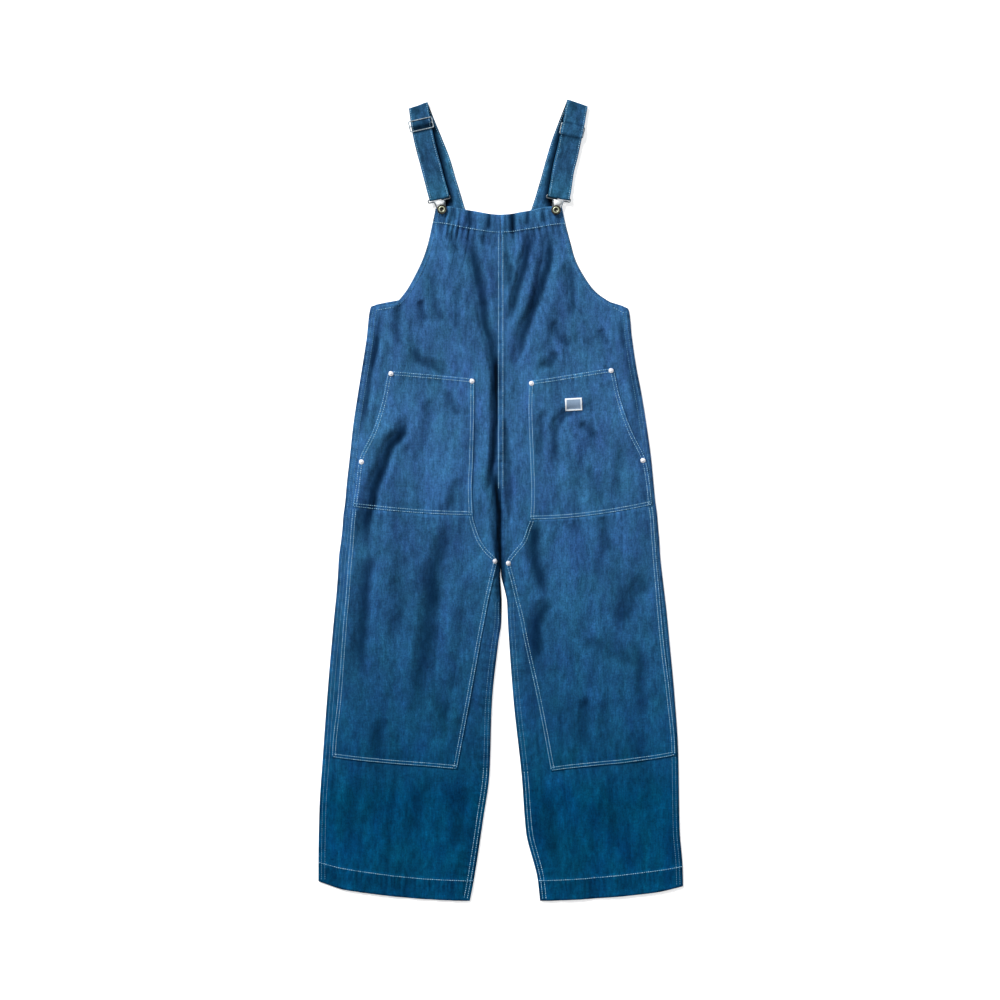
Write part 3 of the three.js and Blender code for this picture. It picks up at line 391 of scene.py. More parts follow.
def lattice(x, y, width, length, seed):
    """A smooth random swell, about one high, with bumps of that width and length."""
    values = np.random.default_rng(seed).standard_normal((LATTICE, LATTICE))
    gx, gy = x / width + 1000, y / length + 1000
    i, j = np.floor(gx).astype(int), np.floor(gy).astype(int)
    u, v = ease(gx - i), ease(gy - j)
    at = lambda a, b: values[(i + a) % LATTICE, (j + b) % LATTICE]
    return mix(mix(at(0, 0), at(1, 0), u), mix(at(0, 1), at(1, 1), u), v)


def rounded_path(points):
    """The same path with its corners eased, by running a smooth curve through its points."""
    points = np.asarray(points, float)
    stops = lengths_along(points)
    return curve_through(stops, points, np.linspace(0, stops[-1], PATH_STEPS * (len(points) - 1) + 1))


def fold_height(x, y, folds):
    """How far the folds lift the cloth, and how deep in a trough each point is, up to one."""
    lift, depth = np.zeros(x.shape), np.zeros(x.shape)
    for points, half, height, lean in folds:
        path = rounded_path(points)
        reach = FOLD_REACH * half
        lo, hi = path.min(axis=0) - reach, path.max(axis=0) + reach
        inside = (x > lo[0]) & (x < hi[0]) & (y > lo[1]) & (y < hi[1])
        if not inside.any():
            continue
        across, along, run = nearest_on(path, x[inside], y[inside])
        across = across * np.where(across * lean > 0, 1 + abs(lean), 1 - abs(lean) / 2)
        wander = lattice(along, np.full(along.shape, half * 7.0), 24, 1, int(abs(points[0][0] * 7)))
        across = across + wander * half * 0.16
        taper = ease(np.minimum(along / (0.15 * run), (run - along) / (0.32 * run)))
        d = across / half
        swell = np.exp(-d ** 2)
        shoulders = bell(np.abs(d) - 2.1, 1.1)
        lift[inside] += height * taper * (swell - 0.3 * shoulders)
        if height < 0:
            depth[inside] += taper * swell * min(-height / FULL_TROUGH, 2)
    return lift, np.clip(depth, 0, 2)


def small_creases(across, along, width, length, seed):
    """Thin creases that wander along the cloth, from nought between them to one in the sharpest."""
    line = bell(lattice(across, along, width, length, seed), THIN_CREASE)
    patchy = ease(0.35 + 0.6 * lattice(across, along, width * 1.6, length * 0.7, seed + 1))
    return line * patchy


def ripple(x, y, path, pitch, height, reach, seed):
    """Puckers that stand across a seam, uneven, and fade away from it."""
    across, along, run = nearest_on(path, x, y)
    shift = 1.7 * lattice(along, np.zeros(along.shape) + seed, pitch * 2.2, 1, seed)
    size = 0.55 + 0.45 * np.abs(lattice(along, np.zeros(along.shape) - seed, pitch * 3.1, 1, seed + 1))
    return height * size * np.sin(2 * math.pi * along / pitch + shift) * bell(across, reach)


# The pattern of one front panel

class Pattern:
    def __init__(self, side, sign, rows):
        self.side, self.sign = side, sign
        self.table = np.array([rows[name] for name in rows], float)
        self.stops = self.table[:, :, 1].mean(axis=1)
        self.level = dict(zip(rows, self.stops))
        self.top = self.stops[-1]

    def points(self, levels):
        return curve_through(self.stops, self.table, levels)

    def grid(self, levels, places):
        """Points on the panel, for columns that each say which part, how far on in it, and a step."""
        rows = self.points(np.asarray(levels, float))
        across = np.abs(rows[:, :, 0] - rows[:, :1, 0])
        part, on, step = (np.array(c) for c in zip(*places))
        part = part.astype(int)
        d = mix(across[:, part], across[:, part + 1], on) + step
        x = rows[:, :1, 0] + self.sign * d
        return x, self.row_height(across, rows[:, :, 1], d), d, across[:, 3:4]

    def row_height(self, across, ys, d):
        gaps = np.diff(across, axis=1)
        slopes = np.diff(ys, axis=1) / gaps
        tangents = tangents_of(slopes.T).T
        # Each row starts level, so that the two sides meet smoothly at the centre front.
        tangents[:, 0] = 0
        i = (d >= across[:, 1:2]).astype(int) + (d >= across[:, 2:3])
        take = lambda a, k: np.take_along_axis(a, k, axis=1)
        gap = take(gaps, i)
        u = (d - take(across, i)) / gap
        return hermite(take(ys, i), take(ys, i + 1), take(tangents, i), take(tangents, i + 1), gap, u)

    def line(self, column, from_level, to_level, inset=0.0, cell=12.0):
        """A path up one of the four columns, moved in by that much towards the panel's outer side."""
        count = max(2, int(abs(to_level - from_level) / cell))
        rows = self.points(np.linspace(from_level, to_level, count + 1))
        return beside(rows[:, column], -self.sign * inset)

    def row_line(self, level, from_place, to_place, rise=0.0):
        """A path across the panel at one level, moved up by that much."""
        places = [(k, u, 0) for k, u in between(from_place, to_place)]
        x, y, _, _ = self.grid([level], places)
        return beside(np.stack([x[0], y[0]], axis=1), self.sign * rise)


def between(a, b):
    """Even places from part and share a to part and share b."""
    start, end = a[0] + a[1], b[0] + b[1]
    for k in range(ROW_STEPS + 1):
        at = start + (end - start) * k / ROW_STEPS
        part = min(int(at), 2)
        yield part, at - part


def beside(path, distance):
    """A path moved to its left by that much."""
    path = np.asarray(path, float)
    run = np.gradient(path, axis=0)
    run /= np.hypot(run[:, 0], run[:, 1])[:, None]
    return path + distance * np.stack([-run[:, 1], run[:, 0]], axis=1)


def lowest_front(x, y):
    zone = STRAP_ZONE
    near = ease((zone["half"] + zone["soft"] - np.abs(x)) / zone["soft"])
    above = ease((y - zone["from"] + zone["soft"]) / zone["soft"])
    below = ease((zone["to"] + zone["soft"] - y) / zone["soft"])
    return mix(mix(ON_BACK, ON_STRAP, above), ON_BACK_AND_STRAP, near * np.minimum(above, below))


def panel_surface(pattern, levels, x, y, d, width):
    """Heights of the front panel's underside and its thickness, with how deep each point is in a fold, which
    is painted on as shade.
    """
    t = np.asarray(levels, float)[:, None] + np.zeros(x.shape)
    level, sign = pattern.level, pattern.sign
    field = mix(FRONT_FIELD_AT_HEM, FRONT_FIELD, ease((y + 700) / 500))
    to_seam, to_top = width - d, pattern.top - t
    above_crotch = ease((t - level["parting"]) / 52)
    rise = ease(to_seam / SEAM_SOFT) * ease((d + SEAM_SOFT * above_crotch) / SEAM_SOFT)
    soft = rise * ease(to_top / FREE_EDGE_SOFT)
    lift, depth = fold_height(x, y, FOLDS)
    swell = 0
    for height, wide, long, seed in SWELLS:
        swell = swell + height * lattice(x, y, wide, long, seed)
    across = d / width * PANEL_WIDTH
    on_left = sign > 0
    small = small_creases(across, t, 27, 230, 101 + on_left)
    small = (small + 0.6 * small_creases(across, t, 15, 95, 103 + on_left)) * ease(d / 14)
    lift = FOLD_DEPTH * lift + SWELL_HEIGHT * swell - CREASE_DEPTH * small
    gap_lift, gap_depth = fold_height(x, y, CROTCH_GAP)
    # The side seam and inseam pucker, and the hems are roped.
    paths = {
        "side": pattern.line(3, level["hem"], level["bibTop"], 5),
        "inseam": pattern.line(0, level["hem"], level["parting"], 10),
        "centre": np.array([(0, -100), (0, 480)]),
        "hem": pattern.row_line(mix(level["hem"], level["hemStitch"], 0.75), (0, 0), (2, 1)),
        "band": pattern.row_line((level["bibTop"] + level["bibStitch"]) / 2, (0, 0), (2, 1)),
        "below_band": pattern.row_line(level["bibStitch"] - 7, (0, 0), (2, 1)),
    }
    puckers = 0
    for name, path in paths.items():
        pitch, height, reach, seed = PUCKERS[name]
        seed = seed + (on_left and name != "centre")
        puckers = puckers + ripple(x, y, path, pitch, height, reach, seed)
    band_folds, band_depth = fold_height(x, y, BIB_PUCKERS)
    uneven = puckers + band_folds
    under = mix(FRONT_AT_SEAM, field, soft) + lift * soft + gap_lift + uneven * (0.35 + 0.65 * rise)
    under = np.maximum(under, lowest_front(x, y) + 0.15 * np.tanh(uneven))
    # The bib's free edges lie down on the surface beside the straps.
    free = ease((t - level["armhole"]) / 50) * ease((np.abs(x) - 88) / 18)
    under = mix(under, np.maximum(under - 1.6, 0.35), free * (1 - 0.6 * soft))
    at_hem = 1 - ease((t - level["hemStitch"]) / HEM_STEP)
    at_band = ease((t - level["bibStitch"] + HEM_STEP) / HEM_STEP)
    hemmed = np.maximum(at_hem, at_band)
    thick = CLOTH + HEM_EXTRA * hemmed
    # The felled seam down the centre front, and those at the sides and inseams, are one cloth thicker.
    felled = ease((t - level["parting"]) / 10) * (1 - hemmed)
    thick = thick + FELLED["thick"] * felled * (1 - ease((d - FELLED[pattern.side]) / FELLED["soft"]))
    leg = (1 - ease((t - level["parting"]) / 20)) * (1 - hemmed)
    sides = (1 - ease((t - level["sideTop"]) / 10)) * (1 - hemmed)
    free_edge = ease((t - level["sideTop"] + 8) / 8) * (1 - hemmed)
    for share, turned_in, size in ((leg, d, INSEAM_TURN), (sides, to_seam, SIDE_TURN),
                                   (free_edge, to_seam, ARMHOLE_TURN)):
        thick = thick + size["thick"] * share * (1 - ease((turned_in - size["wide"]) / TURN_SOFT))
    # The cloth turns down round its edge at the side seam and inseam.
    turn = 1 - ease(to_seam / EDGE_TURN)
    turn = np.maximum(turn, (1 - ease(d / EDGE_TURN)) * (1 - above_crotch))
    under = np.maximum(under - EDGE_DROP * turn, 0.1)
    # Painted shade: the cloth is darkened by how deep it lies in folds, thin creases, puckers and the crotch
    # gap.
    depth = (depth + 0.34 * small) * (0.4 + 0.6 * soft) + band_depth + gap_depth
    return under, thick, np.clip(depth + 0.4 * np.clip(-puckers / 0.6, 0, 1), 0, 2)


# Making meshes

def slab(name, columns, rows):
    """A closed flat slab with that many cells, and each point's column, row and whether it is on top."""
    bm = bmesh.new()
    bmesh.ops.create_grid(bm, x_segments=columns, y_segments=rows, size=0.5)
    made = bmesh.ops.extrude_face_region(bm, geom=bm.faces[:], use_keep_orig=True)
    raised = [v for v in made["geom"] if isinstance(v, bmesh.types.BMVert)]
    bmesh.ops.translate(bm, verts=raised, vec=(0, 0, 1))
    bmesh.ops.recalc_face_normals(bm, faces=bm.faces[:])
    mesh = bpy.data.meshes.new(name)
    bm.to_mesh(mesh)
    bm.free()
    co = points_of(mesh)
    j = np.rint((co[:, 0] + 0.5) * columns).astype(int)
    i = np.rint((co[:, 1] + 0.5) * rows).astype(int)
    return mesh, j, i, co[:, 2] > 0.5


def points_of(mesh):
    co = np.empty(len(mesh.vertices) * 3)
    mesh.vertices.foreach_get("co", co)
    return co.reshape(-1, 3)


def finish_mesh(mesh, points, mirrored=False):
    """Puts a mesh at its points, which are in millimetres, and turns it the right way out."""
    mesh.vertices.foreach_set("co", ((points - MIDDLE) / 1000).ravel())
    if mirrored:
        mesh.flip_normals()
    mesh.polygons.foreach_set("use_smooth", [True] * len(mesh.polygons))
    mesh.update()


def piece(name, mesh, finish, replaces=()):
    body = bpy.data.objects.new(name, mesh)
    bpy.context.scene.collection.objects.link(body)
    mesh.materials.append(finish)
    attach(body, "root")
    if replaces:
        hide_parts(*replaces)
    return body


def rounded(under, top):
    """Rounds a cloth's edges, by thinning it towards its middle layer at its outermost points."""
    rows, columns = under.shape[:2]
    i, j = np.arange(rows), np.arange(columns)
    inward = np.minimum(np.minimum(i, rows - 1 - i)[:, None], np.minimum(j, columns - 1 - j)[None, :])
    share = np.ones((rows, columns))
    for ring, value in enumerate(EDGE_THINNING):
        share[inward == ring] = value
    middle = (under + top) / 2
    share = share[:, :, None]
    return middle + (under - middle) * share, middle + (top - middle) * share


def cloth(name, under, top, weave, finish, replaces=(), painted_shade=None, wear_border_and_painted_light=None):
    """A sheet of cloth between two grids of points, with its weave's own map in metres."""
    rows, columns = under.shape[:2]
    under, top = rounded(under, top)
    mesh, j, i, on_top = slab(name, columns - 1, rows - 1)
    points = np.where(on_top[:, None], top[i, j], under[i, j])
    middle = (rows // 2, columns // 2)
    a = top[middle[0], middle[1] + 1] - top[middle]
    b = top[middle[0] + 1, middle[1]] - top[middle]
    mirrored = np.dot(np.cross(a, b), top[middle] - under[middle]) < 0
    loops = np.empty(len(mesh.loops), int)
    finish_mesh(mesh, points, mirrored)
    mesh.loops.foreach_get("vertex_index", loops)
    uv = mesh.uv_layers.new(name="weave")
    uv.uv.foreach_set("vector", (weave[i, j] / 1000)[loops].ravel())
    # The painted shade and the share of wear and painted light go on as point attributes.
    for label, values in (("painted_shade", painted_shade), ("wear_border_and_painted_light", wear_border_and_painted_light)):
        layer = mesh.attributes.new(label, "FLOAT", "POINT")
        if values is not None:
            layer.data.foreach_set("value", values[i, j].astype(float))
    return piece(name, mesh, finish, replaces)


def stack(x, y, z):
    return np.stack([x, y, z], axis=-1)


def tube(path, radius, sides, looped=False):
    """A round wire along a path, closed at its ends or joined in a loop."""
    path = np.asarray(path, float)
    bm = bmesh.new()
    run = np.roll(path, -1, 0) - np.roll(path, 1, 0) if looped else np.gradient(path, axis=0)
    run /= np.linalg.norm(run, axis=1)[:, None]
    made = []
    for p, t in zip(path, run):
        side = np.cross(t, (0, 0, 1.0))
        side = side / np.linalg.norm(side) if np.linalg.norm(side) > 1e-6 else np.array([1.0, 0, 0])
        up = np.cross(side, t)
        ring = bmesh.ops.create_circle(bm, segments=sides, radius=1.0)["verts"]
        for v in ring:
            v.co = Vector(p + radius * (v.co.x * side + v.co.y * up))
        edges = {e for v in ring for e in v.link_edges}
        made.append(list(edges))
    pairs = zip(made, made[1:] + made[:1]) if looped else zip(made[:-1], made[1:])
    for a, b in pairs:
        bmesh.ops.bridge_loops(bm, edges=a + b)
    if not looped:
        bmesh.ops.holes_fill(bm, edges=made[0] + made[-1], sides=0)
    bmesh.ops.recalc_face_normals(bm, faces=bm.faces[:])
    return bm


def turned(profile, steps):
    """A body turned about Z from its radii and heights."""
    bm = bmesh.new()
    verts = [bm.verts.new((r, 0, h)) for r, h in profile]
    edges = [bm.edges.new(pair) for pair in zip(verts[:-1], verts[1:])]
    bmesh.ops.spin(bm, geom=verts + edges, cent=(0, 0, 0), axis=(0, 0, 1), dvec=(0, 0, 0),
                   angle=2 * math.pi, steps=steps, use_merge=True)
    bmesh.ops.remove_doubles(bm, verts=bm.verts[:], dist=1e-4)
    bmesh.ops.recalc_face_normals(bm, faces=bm.faces[:])
    return bm


def joined(name, parts):
    """One mesh from many small ones, each with its own matrix of axes and place."""
    mesh = bpy.data.meshes.new(name)
    bm = bmesh.new()
    for source, axes, place in parts:
        part = bpy.data.meshes.new(name + "_part")
        source.to_mesh(part)
        points = points_of(part) @ np.asarray(axes, float) + place
        part.vertices.foreach_set("co", points.ravel())
        bm.from_mesh(part)
        bpy.data.meshes.remove(part)
    bm.to_mesh(mesh)
    bm.free()
    finish_mesh(mesh, points_of(mesh))
    return mesh


# Finishes

class Nodes:
    """A short way to write a material's nodes."""

    def __init__(self, name):
        self.material = bpy.data.materials.new(name)
        self.material.use_nodes = True
        self.tree = self.material.node_tree
        self.shader = self.tree.nodes["Principled BSDF"]

    def new(self, kind, inputs=None, **settings):
        node = self.tree.nodes.new("ShaderNode" + kind)
        for key, value in settings.items():
            setattr(node, key, value)
        for key, value in (inputs or {}).items():
            self.put(node.inputs[key], value)
        return node

    def put(self, socket, value):
        if isinstance(value, bpy.types.NodeSocket):
            self.tree.links.new(value, socket)
        else:
            socket.default_value = value

    def math(self, operation, a, b=0.0, clamp=False):
        return self.new("Math", {0: a, 1: b}, operation=operation, use_clamp=clamp).outputs[0]

    def blend(self, share, a, b, kind="MIX"):
        node = self.new("Mix", {0: share, 6: a, 7: b}, data_type="RGBA", blend_type=kind)
        return node.outputs[2]

    def noise(self, place, scale, detail=2.0, rough=0.5, stretch=(1, 1, 1), offset=(0, 0, 0)):
        moved = self.new("Mapping", {"Vector": place, "Scale": stretch, "Location": offset})
        return self.new("TexNoise", {"Vector": moved.outputs[0], "Scale": scale, "Detail": detail,
                                     "Roughness": rough}).outputs[0]

    def ramp(self, value, low, high, to_low=0.0, to_high=1.0):
        return self.new("MapRange", {0: value, 1: low, 2: high, 3: to_low, 4: to_high}).outputs[0]

    def attribute(self, name):
        return self.new("Attribute", attribute_name=name).outputs["Fac"]

    def surface(self, **values):
        for key, value in values.items():
            self.put(self.shader.inputs[key.replace("_", " ")], value)


def denim(name, light, dark, low, grain=1.0, patchy=0.11):
    """Indigo twill with uneven yarns: bluer and lighter at the bib, deeper and greener down the legs, the
    darkening being painted light falling off; folds get painted shade.
    """
    n = Nodes(name)
    weave = n.new("UVMap", uv_map="weave").outputs[0]
    place = n.new("TexCoord").outputs["Object"]
    height = n.new("SeparateXYZ", {0: place}).outputs[1]
    down = n.ramp(height, 0.12, -0.52)
    streaks = n.noise(weave, 1, 4, 0.65, (560 * grain, 70 * grain, 1))
    slubs = n.noise(weave, 1, 3, 0.6, (240, 44, 1), (3, 8, 0))
    picks = n.noise(weave, 1, 3, 0.6, (90, 420, 1), (1, 5, 0))
    specks = n.noise(weave, 1, 2, 0.6, (430, 300, 1), (9, 4, 0))
    mottle = n.noise(weave, 1, 3, 0.6, (150, 85, 1), (2, 6, 0))
    clouds = n.noise(weave, 9, 4, 0.55, (1, 0.6, 1))
    blotches = n.noise(weave, 34, 4, 0.6, (1, 0.55, 1), (5, 2, 0))
    tint = n.noise(weave, 26, 4, 0.65, (1, 0.4, 1), (7, 3, 0))
    patches = n.noise(weave, 88, 3, 0.55, (1, 0.5, 1), (8, 1, 0))
    yarn = n.math("ADD", n.math("MULTIPLY", streaks, 0.45), n.math("MULTIPLY", slubs, 0.35))
    yarn = n.math("ADD", yarn, n.math("MULTIPLY", picks, 0.2))
    # Painted light: the colour runs from the bib's lighter blue to the legs' darker one, as light falling off
    # towards the hem.
    body = n.blend(down, light, low)
    # Twill runs up to the right, with pale weft between its blue ribs.
    rib = n.new("TexWave", {"Vector": n.new("Mapping", {"Vector": weave, "Rotation": (0, 0, 0.9)}).outputs[0],
                            "Scale": 320.0, "Distortion": 1.2, "Detail": 1.0, "Detail Scale": 1.5},
                wave_type="BANDS", bands_direction="X").outputs["Fac"]
    value = n.ramp(yarn, 0.34, 0.66, 0.62, 1.4)
    for source, *limits in (
            (clouds, 0.34, 0.66, 0.84, 1.14), (blotches, 0.36, 0.68, 1.13, 0.84),
            (mottle, 0.34, 0.66, 0.87, 1.14), (specks, 0.34, 0.66, 0.79, 1.21),
            (rib, 0.0, 1.0, 0.94, 1.1), (patches, 0.36, 0.64, 1 - patchy, 1 + patchy)):
        value = n.math("MULTIPLY", value, n.ramp(source, *limits))
    painted_shade, wear_border_and_painted_light = n.attribute("painted_shade"), n.attribute("wear_border_and_painted_light")
    # Painted shade: a fold's trough is darker, and the tight gap at the crotch, whose painted shade is above
    # one, nearly black.
    value = n.math("MULTIPLY", value, n.ramp(painted_shade, 0.0, 1.0, 1.0, 0.3))
    # This share pales the cloth: wear at edges and seams, and painted light on the bib's top edge and the
    # straps' back legs.
    value = n.math("MULTIPLY", value, n.ramp(n.math("MULTIPLY", wear_border_and_painted_light, yarn), 0.0, 0.6, 1.0, 1.45))
    hue = n.ramp(tint, 0.32, 0.68, 0.489, 0.512)
    base = n.new("HueSaturation", {"Hue": hue, "Value": value, "Color": body}).outputs[0]
    # Painted shade also draws the colour towards the dark shade colour, and above one towards black.
    base = n.blend(n.math("MULTIPLY", painted_shade, 0.3, True), base, dark)
    base = n.blend(1.0, base, n.ramp(painted_shade, 1.0, 2.0, 1.0, 0.1), "MULTIPLY")
    relief = n.math("ADD", n.math("MULTIPLY", rib, 0.35), n.math("MULTIPLY", streaks, 0.65))
    bump = n.new("Bump", {"Strength": 0.5, "Distance": 0.0004, "Height": relief})
    n.surface(Base_Color=base, Roughness=n.ramp(yarn, 0.3, 0.7, 0.95, 0.82), Normal=bump.outputs[0],
              Sheen_Weight=0.04, Sheen_Roughness=0.5, Sheen_Tint=(0.1, 0.5, 0.9, 1),
              Specular_IOR_Level=0.02)
    return n.material


def thread_finish(name, dull, bright):
    n = Nodes(name)
    place = n.new("TexCoord").outputs["Object"]
    twist = n.noise(place, 900, 2, 0.6)
    sunk = n.noise(place, 230, 3, 0.6, (1, 1, 1), (4, 2, 0))
    share = n.math("ADD", n.math("MULTIPLY", twist, 0.35), n.math("MULTIPLY", sunk, 0.65))
    base = n.blend(n.ramp(share, 0.42, 0.6), dull, bright)
    bump = n.new("Bump", {"Strength": 0.4, "Distance": 0.0002, "Height": twist})
    n.surface(Base_Color=base, Roughness=0.8, Normal=bump.outputs[0], Specular_IOR_Level=0.1)
    return n.material


def metal(name, light, dark, roughness, metallic=1.0):
    """Plated metal, dulled unevenly and scratched a little."""
    n = Nodes(name)
    place = n.new("TexCoord").outputs["Object"]
    tarnish = n.noise(place, TARNISH_SCALE, 4, 0.6)
    scratches = n.noise(place, 1, 3, 0.6, (2600, 240, 400))
    base = n.blend(n.ramp(tarnish, 0.35, 0.65), dark, light)
    bump = n.new("Bump", {"Strength": 0.15, "Distance": 0.0002, "Height": scratches})
    rough = n.ramp(n.math("ADD", n.math("MULTIPLY", tarnish, 0.6), n.math("MULTIPLY", scratches, 0.4)),
                   0.35, 0.65, roughness + 0.12, roughness - 0.06)
    n.surface(Base_Color=base, Metallic=metallic, Roughness=rough, Normal=bump.outputs[0])
    return n.material


def label_finish():
    """A plain woven label: a pale border round a grey blue field, with fine weft ribs."""
    n = Nodes("woven_label")
    weave = n.new("UVMap", uv_map="weave").outputs[0]
    border = n.attribute("wear_border_and_painted_light")
    ribs = n.new("TexWave", {"Vector": weave, "Scale": 380.0, "Distortion": 0.6, "Detail": 1.0},
                 wave_type="BANDS", bands_direction="Y").outputs["Fac"]
    fibre = n.noise(weave, 1, 3, 0.6, (900, 2400, 1))
    field = n.blend(n.ramp(fibre, 0.3, 0.7), (0.14, 0.23, 0.36, 1), (0.30, 0.40, 0.54, 1))
    edge = n.blend(n.ramp(fibre, 0.3, 0.7), (0.72, 0.78, 0.85, 1), (0.9, 0.93, 0.96, 1))
    bump = n.new("Bump", {"Strength": 0.5, "Distance": 0.0003, "Height": n.math("ADD", ribs, fibre)})
    n.surface(Base_Color=n.blend(border, field, edge), Roughness=0.7, Normal=bump.outputs[0])
    return n.material


# Each denim's colours: the bib's, lighter as painted light; the painted shade colour for folds; and the
# legs', darker as painted light falling off.
DENIM = denim("denim", (0.029, 0.104, 0.236, 1), (0.0, 0.020, 0.075, 1), (0.0004, 0.046, 0.113, 1))
STRAP_DENIM = denim("strap_denim", (0.017, 0.072, 0.145, 1), (0.0, 0.018, 0.06, 1),
                    (0.0005, 0.045, 0.11, 1), 1.2, 0.3)
THREAD_FINISH = thread_finish("sewing_thread", (0.10, 0.31, 0.50, 1), (0.48, 0.78, 0.96, 1))
FADED_THREAD = thread_finish("faded_thread", (0.05, 0.17, 0.31, 1), (0.13, 0.31, 0.48, 1))
STEEL = metal("nickel_wire", (0.60, 0.70, 0.76, 1), (0.16, 0.21, 0.25, 1), 0.3, 0.6)
# The clip's plate is pale nickel whitened further, partly its own colour and partly painted glare.
GLARE_PAINTED_PLATE = metal("nickel_plate_painted_glare", (0.92, 0.94, 0.95, 1), (0.62, 0.66, 0.68, 1), 0.35, 0.3)
# The clip's wire is steel darkened as a painted dark reflection.
STEEL_PAINTED_DARK = metal("wire_painted_dark_reflection", (0.22, 0.26, 0.29, 1), (0.05, 0.06, 0.07, 1), 0.34, 0.7)
DARK_BRONZE = metal("dark_bronze", (0.085, 0.08, 0.065, 1), (0.02, 0.02, 0.018, 1), 0.42)
PALE_BRONZE = metal("worn_bronze", (0.62, 0.66, 0.47, 1), (0.22, 0.24, 0.16, 1), 0.38, 0.5)
RIVET_METAL = metal("rivet_metal", (0.93, 0.93, 0.96, 1), (0.66, 0.67, 0.74, 1), 0.3, 0.2)
LABEL_FINISH = label_finish()


# Front panels, pockets and knee patches

PANEL_PLACES = (
    [(0, 0, 0), (0, 0, 0.45), (0, 0, 1.3)]
    + [(0, k / 20, 0) for k in range(1, 20)]
    + [(1, k / 58, 0) for k in range(58)]
    + [(2, k / 14, 0) for k in range(13)]
    + [(2, 1, -1.3), (2, 1, -0.45), (2, 1, 0)]
)


def patch_places(cells):
    """Columns of a patch, close together at its turned and stitched edges."""
    edge = [0, 0.45, 1.3, 2.6, 4.4, 6.6]
    return ([(1, 0, e) for e in edge] + [(1, k / cells, 0) for k in range(3, cells - 2)]
            + [(1, 1, -e) for e in reversed(edge)])


def make_front(pattern):
    level = pattern.level
    stops = [level["hem"] + e for e in (0, *RIM)]
    stops += [level["hemStitch"] + e for e in (0, 1, HEM_STEP)]
    stops += [level["bibStitch"] - e for e in (HEM_STEP, 1, 0)]
    stops += [pattern.top - e for e in (*reversed(RIM), 0)]
    levels = spread(stops, PANEL_CELL)
    x, y, d, width = pattern.grid(levels, PANEL_PLACES)
    under, thick, painted_shade = panel_surface(pattern, levels, x, y, d, width)
    t = levels[:, None] + np.zeros(x.shape)
    apart = ease((t - level["parting"]) / 6)
    x = x + pattern.sign * apart * SHUT_GAP / 2 * (1 - np.minimum(d / SEAM_SOFT, 1))
    to_seam = width - d
    edges = np.minimum(np.minimum(to_seam, np.where(t < level["parting"], d, FAR)),
                       np.minimum(t - level["hem"], pattern.top - t))
    wear_border_and_painted_light = np.clip(0.25 * np.exp(-edges / 2.2) + 0.35 * bell(edges - 6, 5), 0, 1)
    centre = (t > level["parting"]) * bell(d - 2.5, 3.5)
    wear_border_and_painted_light = wear_border_and_painted_light + 0.45 * centre + 0.25 * bell(t - level["hemStitch"], 5)
    # The bib's folded top edge is paler, partly from wear and partly as a painted highlight.
    wear_border_and_painted_light = np.clip(wear_border_and_painted_light + 0.7 * np.exp(-(pattern.top - t) / 1.8), 0, 1)
    # Painted shade: a thin dark line in the join down the centre, and another beside the felled seam's edge.
    centre_shade_lines = 0.3 * bell(d, 1.1) + 0.5 * bell(d - 6.8, 1.5)
    painted_shade = painted_shade + centre_shade_lines * (t > level["parting"])
    # Painted shade darkens the turned edges at the sides, inseams and hem most.
    sides = np.minimum(np.minimum(to_seam, np.where(t < level["parting"], d, FAR)), t - level["hem"])
    dark = bell(sides, 3.0) * (0.6 + 0.4 * lattice(x, y, 14, 36, 77))
    painted_shade = np.clip(painted_shade + 0.95 * dark, 0, 2)
    return cloth(f"front_{pattern.side}", stack(x, y, under), stack(x, y, under + thick),
                 np.stack([x, y], -1), DENIM, [f"front_panel_{pattern.side}"], painted_shade, wear_border_and_painted_light)


# The row and column of a patch's own grid that run beside an edge, and the puckers' height, reach and seed
PATCH_PUCKERS = [
    (slice(None, None, 6), 3, 0.32, 9, 71),
    (slice(None, None, 6), -4, 0.32, 9, 72),
    (3, slice(None, None, 4), 0.95, 17, 73),
    (-4, slice(None, None, 4), 0.55, 12, 74),
]


def make_patch(pattern, name, from_row, to_row, node):
    level = pattern.level
    low, high = level[from_row], level[to_row]
    ends = (0, *RIM, 4, 7)
    levels = spread([low + e for e in ends] + [high - e for e in reversed(ends)], PATCH_CELL)
    x, y, d, width = pattern.grid(levels, patch_places(PATCH_COLUMNS))
    under, thick, painted_shade = panel_surface(pattern, levels, x, y, d, width)
    t = levels[:, None] + np.zeros(x.shape)
    columns = pattern.points(levels)
    near = np.abs(columns[:, 1, 0] - columns[:, 0, 0])[:, None]
    far = np.abs(columns[:, 2, 0] - columns[:, 0, 0])[:, None]
    sides = np.minimum(d - near, far - d)
    ends = np.minimum(t - low, high - t)
    edges = np.minimum(sides, ends)
    # Two rows of stitches pull the doubled edge down, and the field stands a little proud of it.
    pulled = 0.28 * (bell(edges - 2, 1.1) + bell(edges - 7.2, 1.3))
    doubled = 0.5 * (1 - ease((edges - 8.5) / 1.5))
    puff = 0.5 * ease(edges / 22)
    puckers = 0
    for row, column, height, reach, seed in PATCH_PUCKERS:
        edge = np.stack([x[row, column], y[row, column]], 1)
        puckers = puckers + ripple(x, y, edge, 10, height, reach, seed)
    # Painted shade in the troughs of the puckers.
    painted_shade = painted_shade + 0.4 * np.clip(-puckers / 0.6, 0, 1)
    lay = under + thick + 0.12 + np.maximum(puckers, -0.1) * ease(edges / 3)
    inset = np.where(t <= low, 0.15, 0) - np.where(t >= high, 0.15, 0)
    top = lay + CLOTH + doubled + puff - pulled + 0.25 * lattice(x, y, 22, 60, 75)
    wear_border_and_painted_light = np.clip(0.85 * np.exp(-edges / 2.0) + 0.4 * bell(edges - 5, 3.5), 0, 1)
    return cloth(f"{name}_{pattern.side}", stack(x, y + inset, lay), stack(x, y + inset, top),
                 np.stack([x + 7, y + 31], -1), DENIM, [f"{node}_{pattern.side}"], painted_shade, wear_border_and_painted_light)


